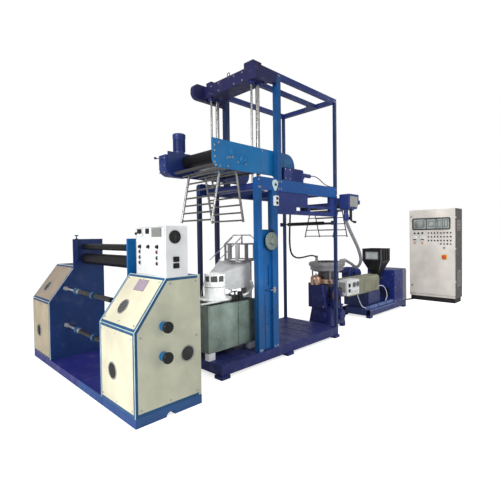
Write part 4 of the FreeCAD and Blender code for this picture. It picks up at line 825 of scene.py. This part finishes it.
# Haul-off carriage
CAR_MOTOR = (0.2, 0.99)
p = Piece("carriage_bolts", STEEL, "carriage")
for x, z in ((-0.004, 2.436), (0.06, 2.47), (-0.004, 2.379), (-0.004, 2.317), (-0.004, 2.261),
        (0.02, 2.232), (0.078, 2.226), (0.185, 2.329), (0.221, 2.339), (0.258, 2.344), (0.191, 2.24),
        (0.729, 2.486), (0.447, 2.338), (0.34, 2.3), (0.46, 2.29), (0.93, 2.48)):
    p.bolt((max(x, 0.004), 0.075, z), NEAR, 0.008)
p.done()
p = Piece("nip_bearings", CARRIAGE_SHADED_FAR, "carriage")
for x, z in ((0.25, 2.4), (0.402, 2.335)):
    p.turned((x, 0.075, z), NEAR, ((46, 0), (46, 4), (36, 12), (22, 14), (0, 14)), 36)
p.done()
p = Piece("drum_rim", TEAL, "carriage")
p.turned((1.2, 0.075, 2.375), NEAR, ((78, 0), (78, 3), (70, 5), (40, 5), (36, 8), (20, 9), (0, 9)), 56)
for c, s in around(5, 18):
    p.bolt((1.2 + 0.055 * c, 0.07, 2.375 + 0.055 * s), NEAR, 0.004)
p.done()
p = Piece("carriage_motor_fins", NAVY, "carriage")
for c, s in around(28):
    p.rod((0.2 + 0.0735 * c, 0.99 + 0.0735 * s, 2.545), (0.2 + 0.0735 * c, 0.99 + 0.0735 * s, 2.7), 0.003,
        6)
p.turned((*CAR_MOTOR, 2.7), UP, ((76, 0), (80, 6), (80, 52), (72, 60), (60, 60.5)), 40)
p.done()
p = Piece("carriage_motor_grille", PLASTIC, "carriage")
for k in range(5):
    r = 0.014 + 0.012 * k
    p.lathe((*CAR_MOTOR, 2.7605), UP, ((r - 0.0015, 0), (r - 0.0015, 0.0015), (r + 0.0015, 0.0015),
        (r + 0.0015, 0)), 30)
p.done()
p = Piece("gearbox_bolts", STEEL, "carriage")
for z in (2.26, 2.34, 2.43):
    p.bolt((-0.045, 0.94, z), LEFT, 0.009)
    p.bolt((-0.045, 1.04, z), LEFT, 0.009)
for x in (0.02, 0.15, 0.26):
    p.bolt((x, 0.93, 2.4705), UP, 0.007)
p.done()

# Gantry on top of the tower
p = Piece("gantry_castings", DEEP)
for y in (0.13, 0.86):
    p.turned((0.62, y, 3.4205), UP, ((52, 0), (52, 10), (40, 22), (24, 30), (0, 32)), 32)
    p.turned((0.72, y, 3.4205), UP, ((40, 0), (40, 8), (30, 20), (0, 21)), 32)
    p.turned((0.62, y, 3.2695), DOWN, ((40, 0), (40, 18), (26, 26), (21.5, 26)), 32)
    p.turned((0.72, y, 3.2695), DOWN, ((36, 0), (36, 14), (25.5, 20), (20.5, 20)), 32)
p.done()
p = Piece("eye_bolt", DARKSTEEL)
p.turned((0.6, 0.5, 3.42), UP, ((18, 0), (18, 6), (10, 10), (9, 24), (0, 24)), 20)
for i in range(20):
    t0, t1 = 2 * math.pi * i / 20, 2 * math.pi * (i + 1) / 20
    p.rod((0.6, 0.5 + 0.022 * math.cos(t0), 3.462 + 0.022 * math.sin(t0)),
        (0.6, 0.5 + 0.022 * math.cos(t1), 3.462 + 0.022 * math.sin(t1)), 0.0055, 10)
p.done()
p = Piece("gantry_bolts", STEEL)
for y in (0.22, 0.36, 0.64, 0.78):
    p.bolt((0.56, y, 3.3), LEFT, 0.009)
    p.bolt((0.56, y, 3.39), LEFT, 0.009)
p.done()

# Water bath, sizing ring, cowl and cage
p = Piece("bath_water", WATER)
p.box((-0.001, 0.209, 0.24), (0.691, 0.781, 0.66), 0.0)
for v in p.bm.verts:
    if v.co.z > 0.6:
        v.co.z += 0.004 * math.sin(17 * v.co.x + 9 * v.co.y)
p.done()
p = Piece("tank_edges", TANKEDGE)
for x, y in product((-0.01, 0.7), (0.2, 0.79)):
    p.rod((x, y, 0.232), (x, y, 0.738), 0.0045, 10)
p.box((0.426, 0.1955, 0.232), (0.434, 0.2, 0.738), 0.001)
for z in (0.233, 0.737):
    p.rod((-0.01, 0.2, z), (0.7, 0.2, z), 0.0045, 10)
    p.rod((-0.01, 0.79, z), (0.7, 0.79, z), 0.0045, 10)
    for x in (-0.01, 0.7):
        p.rod((x, 0.2, z), (x, 0.79, z), 0.0045, 10)
p.done()
p = Piece("tank_deposits", DEPOSIT)
rng = random.Random(11)
for i in range(12):
    x, z, r = rng.uniform(0.02, 0.66), rng.uniform(0.28, 0.68), rng.uniform(0.002, 0.006)
    p.lathe((x, 0.2, z), NEAR, ((r, 0), (r * 0.8, 0.0008), (0, 0.001)), 9)
p.done()
p = Piece("sizing_ring_windows", DARKGREY)
p.turned((0.32, 0.48, 0.962), UP, ((118.5, 0), (118.5, 62), (117.5, 62), (117.5, 0)), 48)
p.turned((0.32, 0.48, 0.896), UP, ((125.5, 0), (126.2, 1.5), (126.2, 4.5), (125.5, 6)), 64)
p.done()
HOOD = {"tip": (0.345, 0.7, 0.972), "low": (0.51, 0.45, 0.838), "foot": (0.724, 0.3, 0.872),
    "corner": (0.729, 0.3, 1.156), "top": (0.58, 0.7, 1.178), "foot_back": (0.724, 0.655, 0.872),
    "corner_back": (0.729, 0.655, 1.16)}
hood = Piece("cowl_sheet", ALU)
hood_at = {k: hood.bm.verts.new(v) for k, v in HOOD.items()}
for names in (("tip", "low", "corner"), ("tip", "corner", "top"), ("low", "foot", "corner"),
        ("top", "corner", "corner_back"), ("corner", "foot", "foot_back", "corner_back")):
    hood.bm.faces.new([hood_at[k] for k in names])
bmesh.ops.recalc_face_normals(hood.bm, faces=hood.bm.faces[:])
bmesh.ops.solidify(hood.bm, geom=hood.bm.faces[:], thickness=0.0025)
hood.done("bath_cowl")
p = Piece("cowl_folds", ALU)
for a, b in (("tip", "top"), ("top", "corner"), ("corner", "foot"), ("foot", "low"), ("low", "corner"),
        ("tip", "low"), ("top", "corner_back"), ("corner_back", "foot_back"), ("corner", "corner_back"),
        ("foot", "foot_back")):
    p.rod(HOOD[a], HOOD[b], 0.0035, 10)
p.done()
p = Piece("cowl_legs", ALU)
for y in (0.31, 0.64):
    p.box((0.689, y - 0.012, 0.737), (0.693, y + 0.012, 0.765), 0.0008)
    p.box((0.689, y - 0.012, 0.76), (0.726, y + 0.012, 0.764), 0.0008)
    p.box((0.722, y - 0.012, 0.76), (0.726, y + 0.012, 0.9), 0.0008)
p.rod((0.345, 0.7, 0.972), (0.345, 0.7865, 0.742), 0.006, 12)
p.rod((0.58, 0.698, 1.17), (0.58, 0.7865, 0.742), 0.006, 12)
p.done()
p = Piece("cowl_rivets", STEEL)
for t in (0.15, 0.4, 0.65, 0.9):
    q = Vector(HOOD["foot"]).lerp(Vector(HOOD["corner"]), t)
    p.screw((0.7305, 0.33, q.z), RIGHT, 0.005)
    p.screw((0.7305, 0.625, q.z), RIGHT, 0.005)
p.done()
p = Piece("cage_stays", STEEL)
for y in (0.42, 0.58):
    p.rod((0.33, y, 1.205), (0.7, y, 1.47), 0.006, 12)
p.done()
p = Piece("bath_pump", PLASTIC)
p.rod((0.5, 0.245, 0.742), (0.5, 0.245, 0.8), 0.04, 28, 0.004)
p.rod((0.5, 0.245, 0.8), (0.5, 0.245, 0.842), 0.03, 28, 0.004)
p.box((0.4, 0.215, 0.742), (0.45, 0.275, 0.812), 0.006)
p.rod((0.45, 0.245, 0.775), (0.47, 0.245, 0.775), 0.012, 16)
p.rod((0.42, 0.245, 0.812), (0.42, 0.245, 0.848), 0.01, 16)
p.rod((0.385, 0.245, 0.85), (0.455, 0.245, 0.85), 0.008, 14, 0.002)
p.box((0.37, 0.198, 0.735), (0.56, 0.285, 0.743), 0.002)
p.done()
Piece("bath_pipe", IVORY).sweep([(0.53, 0.245, 0.79), (0.57, 0.215, 0.8), (0.63, 0.205, 0.83),
    (0.69, 0.215, 0.88), (0.72, 0.262, 0.925), (0.728, 0.296, 0.94)], 0.013, 14).done()
p = Piece("pad_seams", GREY)
for x, y in product((-0.01, 0.6), (0.2, 0.72)):
    p.box((x + 0.004, y + 0.003, 0.2275), (x + 0.096, y + 0.066, 0.2295), 0.0005)
p.done()

# Die, stand and air ring
DIE = (2.69, 0.486)
p = Piece("die_heater", COPPER)
p.turned((*DIE, 0.712), UP, ((166, 0), (174, 4), (174, 30), (170, 34), (174, 38), (174, 64), (166, 68)), 56)
p.box((2.5, 0.56, 0.736), (2.56, 0.64, 0.8), 0.008)
p.turned((2.49, 0.56, 0.692), UP, ((0, 0), (85, 1), (88, 10), (88, 110), (70, 140), (30, 150), (0, 150)),
    40)
p.box((2.61, 0.3, 0.722), (2.69, 0.322, 0.775), 0.004)
p.done()
p = Piece("die_heater_screws", STEEL)
for t in (205, 245, 285, 325):
    c, s = math.cos(math.radians(t)), math.sin(math.radians(t))
    for z in (0.727, 0.763):
        p.bolt((2.69 + 0.174 * c, 0.486 + 0.174 * s, z), (c, s, 0), 0.006)
p.rod((2.49, 0.56, 0.842), (2.49, 0.56, 0.872), 0.012, 20, 0.002)
p.rod((2.44, 0.5, 0.842), (2.44, 0.5, 0.86), 0.01, 20, 0.002)
p.done()
p = Piece("die_body_bands", DARKSTEEL)
for z in (0.52, 0.6, 0.655):
    p.turned((*DIE, z), UP, ((120.5, 0), (124, 2), (124, 28), (120.5, 30)), 48)
p.turned((*DIE, 0.826), UP, ((140.5, 0), (146, 3), (146, 30), (140.5, 33)), 48)
p.done()
p = Piece("die_flange", BROWN)
p.turned((2.6, 0.262, 0.54), NEAR, ((0, 0), (112, 0), (118, 4), (118, 22), (112, 26), (50, 27), (46, 40),
    (20, 44), (0, 44)), 48)
for c, s in around(8, 10):
    p.bolt((2.6 + 0.086 * c, 0.235, 0.54 + 0.086 * s), NEAR, 0.009)
p.done()
p = Piece("air_ring_lip", BLACKSTEEL)
p.turned((*DIE, 1.05), UP, ((152, 0), (158, 12), (176, 12), (180, 0)), 64)
p.turned((*DIE, 1.05), UP, ((100, 0), (104, 16), (124, 16), (128, 0)), 64)
p.done()
p = Piece("air_ring_bolts", STEEL)
for c, s in around(12, 8):
    p.bolt((2.69 + 0.225 * c, 0.486 + 0.225 * s, 1.0503), UP, 0.01)
p.done()
p = Piece("die_stand_bolts", STEEL)
for z, y in product((0.36, 0.62), (0.395, 0.655)):
    p.bolt((2.45, y, z), LEFT, 0.01)
for x, z in product((2.56, 2.735), (0.37, 0.61)):
    p.bolt((x, 0.2615, z), NEAR, 0.009)
p.done()
p = Piece("die_stand_pipes", NAVY)
p.sweep([(2.465, 0.42, 0.7), (2.42, 0.38, 0.64), (2.405, 0.36, 0.52), (2.425, 0.35, 0.4),
    (2.47, 0.35, 0.35)], 0.014, 12)
p.sweep([(2.58, 0.25, 0.655), (2.6, 0.215, 0.6), (2.64, 0.205, 0.48), (2.66, 0.215, 0.34),
    (2.68, 0.262, 0.3)], 0.012, 12)
p.done()

# Extruder: fans, cover, hopper, blower and gearbox
FANX, FANZ, FANY = (3.09, 2.975), 0.675, 0.154
grille = Piece("fan_guards", STEEL)
fans = Piece("fan_rotors", PLASTIC)
for x in FANX:
    fans.turned((x, FANY, FANZ), NEAR, ((0, 0), (43, 0), (43, 2), (16, 3), (15, 8), (0, 8)), 36)
    for i in range(7):
        t = 2 * math.pi * i / 7
        a = Vector((x + 0.015 * math.cos(t), FANY - 0.004, FANZ + 0.015 * math.sin(t)))
        b = Vector((x + 0.041 * math.cos(t + 0.3), FANY - 0.004, FANZ + 0.041 * math.sin(t + 0.3)))
        fans.rod(a, b, 0.005, 8)
    for r in (0.02, 0.031, 0.042):
        grille.hoop((x, FANY - 0.01, FANZ), NEAR, r, 0.0012, 0.0024)
    for i in range(4):
        t = math.pi * i / 4 + 0.2
        d = Vector((math.cos(t), 0, math.sin(t))) * 0.046
        c = Vector((x, FANY - 0.0115, FANZ))
        grille.rod(c - d, c + d, 0.0013, 8)
grille.done()
fans.done()
p = Piece("fan_box_details", GREY)
for z in (0.53, 0.55, 0.57):
    p.box((2.9, 0.164, z), (3.12, 0.1665, z + 0.006), 0.001)
p.box((2.769, 0.19, 0.56), (2.7705, 0.31, 0.72), 0.0005)
p.done()
p = Piece("fan_box_dark_bits", PLASTIC)
p.box((2.82, 0.16, 0.64), (2.88, 0.1665, 0.7), 0.002)
p.box((2.82, 0.16, 0.56), (2.88, 0.1665, 0.61), 0.002)
p.rod((2.85, 0.16, 0.67), (2.85, 0.15, 0.67), 0.016, 20, 0.002)
p.done()

p = Piece("cover_seams", OLIVEDARK)
for x in (3.37, 3.66, 3.95):
    p.box((x - 0.004, 0.3345, 0.437), (x + 0.004, 0.3362, 0.69), 0.001)
    p.box((x - 0.004, 0.6358, 0.437), (x + 0.004, 0.6375, 0.69), 0.001)
    p.box((x - 0.004, 0.38, 0.7248), (x + 0.004, 0.592, 0.7265), 0.001)
for i in range(5):
    z = 0.5 + 0.03 * i
    p.box((4.03, 0.334, z), (4.18, 0.3362, z + 0.008), 0.001)
p.rod((3.082, 0.3352, 0.4365), (4.238, 0.3352, 0.4365), 0.003, 8)
p.done()
p = Piece("cover_screws", STEEL)
for x, z in product((3.11, 3.34, 3.4, 3.63, 3.69, 3.92, 3.98, 4.21), (0.46, 0.65)):
    p.screw((x, 0.3358, z), NEAR, 0.007)
    p.screw((x, 0.6362, z), FAR, 0.007)
p.done()

HX, HY, HH, HB, HT = 4.43, 0.486, 0.19, 0.975, 1.21
p = Piece("hopper_sight_frame", STEEL)
ring_plate(p, round_rect(0.352, 0.61, 1.005, 1.15, 0.012), round_rect(0.37, 0.592, 1.022, 1.133, 0.008),
    (HX - HH - 0.006, HX - HH), "x")
p.done()
Piece("hopper_sight_glass", SIGHT).box((HX - HH - 0.003, 0.368, 1.02), (HX - HH - 0.0005, 0.594, 1.135),
    0.0005).done()
p = Piece("hopper_ribs", BLACK)
for k in (-0.105, 0.0, 0.105):
    p.box((HX + k - 0.006, HY - HH - 0.012, HB), (HX + k + 0.006, HY - HH, HT - 0.014), 0.002)
    p.box((HX + k - 0.006, HY + HH, HB), (HX + k + 0.006, HY + HH + 0.012, HT - 0.014), 0.002)
corners = [(HX + sx * HH, HY + sy * HH, HB + 0.004) for sx, sy in ((-1, -1), (1, -1), (-1, 1), (1, 1))]
for i, j in ((0, 1), (0, 2), (1, 3), (2, 3)):
    p.rod(corners[i], corners[j], 0.005, 10)
p.done()
p = Piece("hopper_bright_edges", STEEL)
for sx, sy in product((-1, 1), (-1, 1)):
    x, y = HX + sx * HH, HY + sy * HH
    p.rod((x, y, HB + 0.006), (x, y, HT - 0.013), 0.0042, 10)
    p.rod((x, y, HB), (HX + sx * 0.055, HY + sy * 0.055, 0.68), 0.0038, 10)
p.done()
p = Piece("hopper_bolts", STEEL)
for c, s in around(6, 30):
    p.bolt((HX + 0.066 * c, HY + 0.066 * s, 0.6672), UP, 0.0055)
p.done()

BLOWER = (3.9, 0.708, 0.72)
p = Piece("blower_details", DEEP)
p.turned(BLOWER, NEAR, ((70, 0), (70, 20), (60, 24), (56, 4), (0, 4)), 40)
p.turned(BLOWER, NEAR, ((150, 0), (152, 4), (146, 7), (110, 8), (74, 8)), 48)
p.done()
p = Piece("blower_motor", NAVY)
p.rod((3.96, 0.778, 0.735), (4.205, 0.778, 0.735), 0.095, 36, 0.006)
for c, s in around(24):
    dy, dz = 0.0955 * c, 0.0955 * s
    p.rod((4.0, 0.778 + dy, 0.735 + dz), (4.17, 0.778 + dy, 0.735 + dz), 0.003, 6)
p.box((4.02, 0.73, 0.826), (4.12, 0.81, 0.862), 0.006)
p.done()
p = Piece("blower_bolts", STEEL)
for c, s in around(8):
    p.bolt((3.9 + 0.13 * c, 0.701, 0.72 + 0.13 * s), NEAR, 0.007)
p.done()

p = Piece("gearbox_details", DARKNAVY)
for x in (4.7, 4.86, 5.02):
    p.box((x - 0.004, 0.2025, 0.17), (x + 0.004, 0.2042, 0.74), 0.001)
    p.box((x - 0.004, 0.7678, 0.17), (x + 0.004, 0.7695, 0.74), 0.001)
for i in range(8):
    z = 0.25 + 0.028 * i
    p.box((4.73, 0.2015, z), (4.83, 0.2042, z + 0.01), 0.002)
p.box((4.618, 0.3, 0.25), (4.6202, 0.68, 0.43), 0.001)
p.done()
p = Piece("gearbox_screws", STEEL)
for x, z in product((4.64, 4.69, 4.87, 5.01), (0.18, 0.45, 0.72)):
    p.screw((x, 0.204, z), NEAR, 0.007)
    p.screw((x, 0.768, z), FAR, 0.007)
for y, z in product((0.25, 0.48, 0.71), (0.2, 0.7)):
    p.screw((4.62, y, z), LEFT, 0.008)
p.done()
p = Piece("base_tube_clamps", DARKNAVY)
for x in (3.62, 3.95, 4.28, 4.58):
    p.turned((x - 0.01, 0.246, 0.184), RIGHT, ((34.5, 0), (38, 2), (38, 18), (34.5, 20)), 28)
p.done()

# Haul-off drive and first nip
p = Piece("drive_details", NAVY)
p.turned((1.44, 0.035, 2.246), RIGHT, ((30, 0), (34, 4), (34, 20), (26, 26), (12, 28)), 28)
for i in range(9):
    x = 1.2 + 0.024 * i
    p.box((x, 0.004, 2.175), (x + 0.006, 0.0082, 2.318), 0.001)
p.done()
p = Piece("drive_bolts", STEEL)
for x, z in product((1.075, 1.165), (2.19, 2.3)):
    p.bolt((x, 0.008, z), NEAR, 0.007)
p.done()
Piece("nip_box_details", GREY).box((2.33, -0.1525, 1.89), (2.545, -0.15, 2.045), 0.002).done()
p = Piece("nip_box_screws", STEEL)
for x, z in product((2.345, 2.53), (1.905, 2.03)):
    p.screw((x, -0.1525, z), NEAR, 0.007)
p.done()
p = Piece("nip_handle", PLASTIC)
p.rod((2.44, -0.1, 1.8602), (2.44, -0.1, 1.7), 0.02, 22, 0.003)
p.rod((2.44, -0.1, 1.7), (2.47, -0.13, 1.672), 0.013, 16)
p.rod((2.47, -0.13, 1.672), (2.5, -0.15, 1.672), 0.018, 18, 0.003)
p.done()


# Camera, at the photograph's own viewpoint
CAM = Vector((-2.4694, -2.892, 1.488))
YAW, PITCH, ROLL = math.radians(44.964), math.radians(1.136), math.radians(-0.748)
forward = Vector((math.cos(YAW), math.sin(YAW), 0))
up = Vector(UP)
right = forward.cross(up)
look = forward * math.cos(PITCH) - up * math.sin(PITCH)
upright = up * math.cos(PITCH) + forward * math.sin(PITCH)
cam_x = right * math.cos(ROLL) + upright * math.sin(ROLL)
cam_y = upright * math.cos(ROLL) - right * math.sin(ROLL)
data = bpy.data.cameras.new("camera")
data.sensor_width = 36
data.lens = 370.154 / 500 * 36
data.shift_x = 0.00096
data.shift_y = -0.01356
data.clip_end = 100
cam = new_object("camera", data)
cam.matrix_world = Matrix.Translation(CAM) @ Matrix((cam_x, cam_y, -look)).transposed().to_4x4()
bpy.context.scene.camera = cam


# Floor, light and background
def area(name, at, aim, size, power, spread=180):
    light = bpy.data.lights.new(name, "AREA")
    light.shape = "RECTANGLE"
    light.spread = math.radians(spread)
    light.size, light.size_y = size
    light.energy = power
    ob = new_object(name, light)
    ob.location = at
    ob.rotation_euler = (Vector(aim) - Vector(at)).to_track_quat("-Z", "Y").to_euler()
    ob.visible_camera = False


def by_eye(nt, usual, seen, output):
    """One shader for the camera's own rays, another for all the rest."""
    path = node(nt, "LightPath", {})
    pick = node(nt, "MixShader", {0: path.outputs["Is Camera Ray"], 1: usual, 2: seen})
    nt.links.new(pick.outputs[0], nt.nodes[output].inputs["Surface"])


area("key", (-7.0, -1.0, 3.6), (1.5, 0.3, 1.3), (3.0, 3.0), 400)
area("fill", (2.0, -6.5, 4.0), (2.2, 0.4, 1.2), (5, 3), 95)
area("top", (2.5, 0.5, 7.5), (2.5, 0.4, 0), (8, 4), 90)
area("bath", (-0.1, -2.0, 2.3), (0.38, 0.4, 0.92), (0.5, 0.5), 3, spread=34)
area("far", (3.6, -2.0, 3.6), (6.0, 0.1, 1.1), (2, 2), 60)

floor_mesh = bpy.data.meshes.new("floor")
bm = bmesh.new()
bmesh.ops.create_grid(bm, x_segments=1, y_segments=1, size=40)
bm.to_mesh(floor_mesh)
bm.free()
floor = new_object("floor", floor_mesh)
floor.location = (2.0, 0.5, -0.0006)
ground = bpy.data.materials.new("floor_pale")
ground.use_nodes = True
nt = ground.node_tree
matt = wire(nt, nt.nodes["Principled BSDF"], {"Base Color": (0.8, 0.8, 0.8), "Roughness": 0.9,
    "Specular IOR Level": 0.1}).outputs["BSDF"]
lift = node(nt, "Emission", {"Color": PURE_WHITE, "Strength": 0.72}).outputs["Emission"]
by_eye(nt, matt, node(nt, "AddShader", {0: matt, 1: lift}).outputs[0], "Material Output")
floor_mesh.materials.append(ground)

world = bpy.data.worlds.new("world")
bpy.context.scene.world = world
world.use_nodes = True
nt = world.node_tree
back = wire(nt, nt.nodes["Background"], {"Color": PURE_WHITE, "Strength": 0.42})
white = node(nt, "Background", {"Color": PURE_WHITE, "Strength": 1.0})
by_eye(nt, back.outputs[0], white.outputs[0], "World Output")
bpy.context.scene.view_settings.view_transform = "Standard"
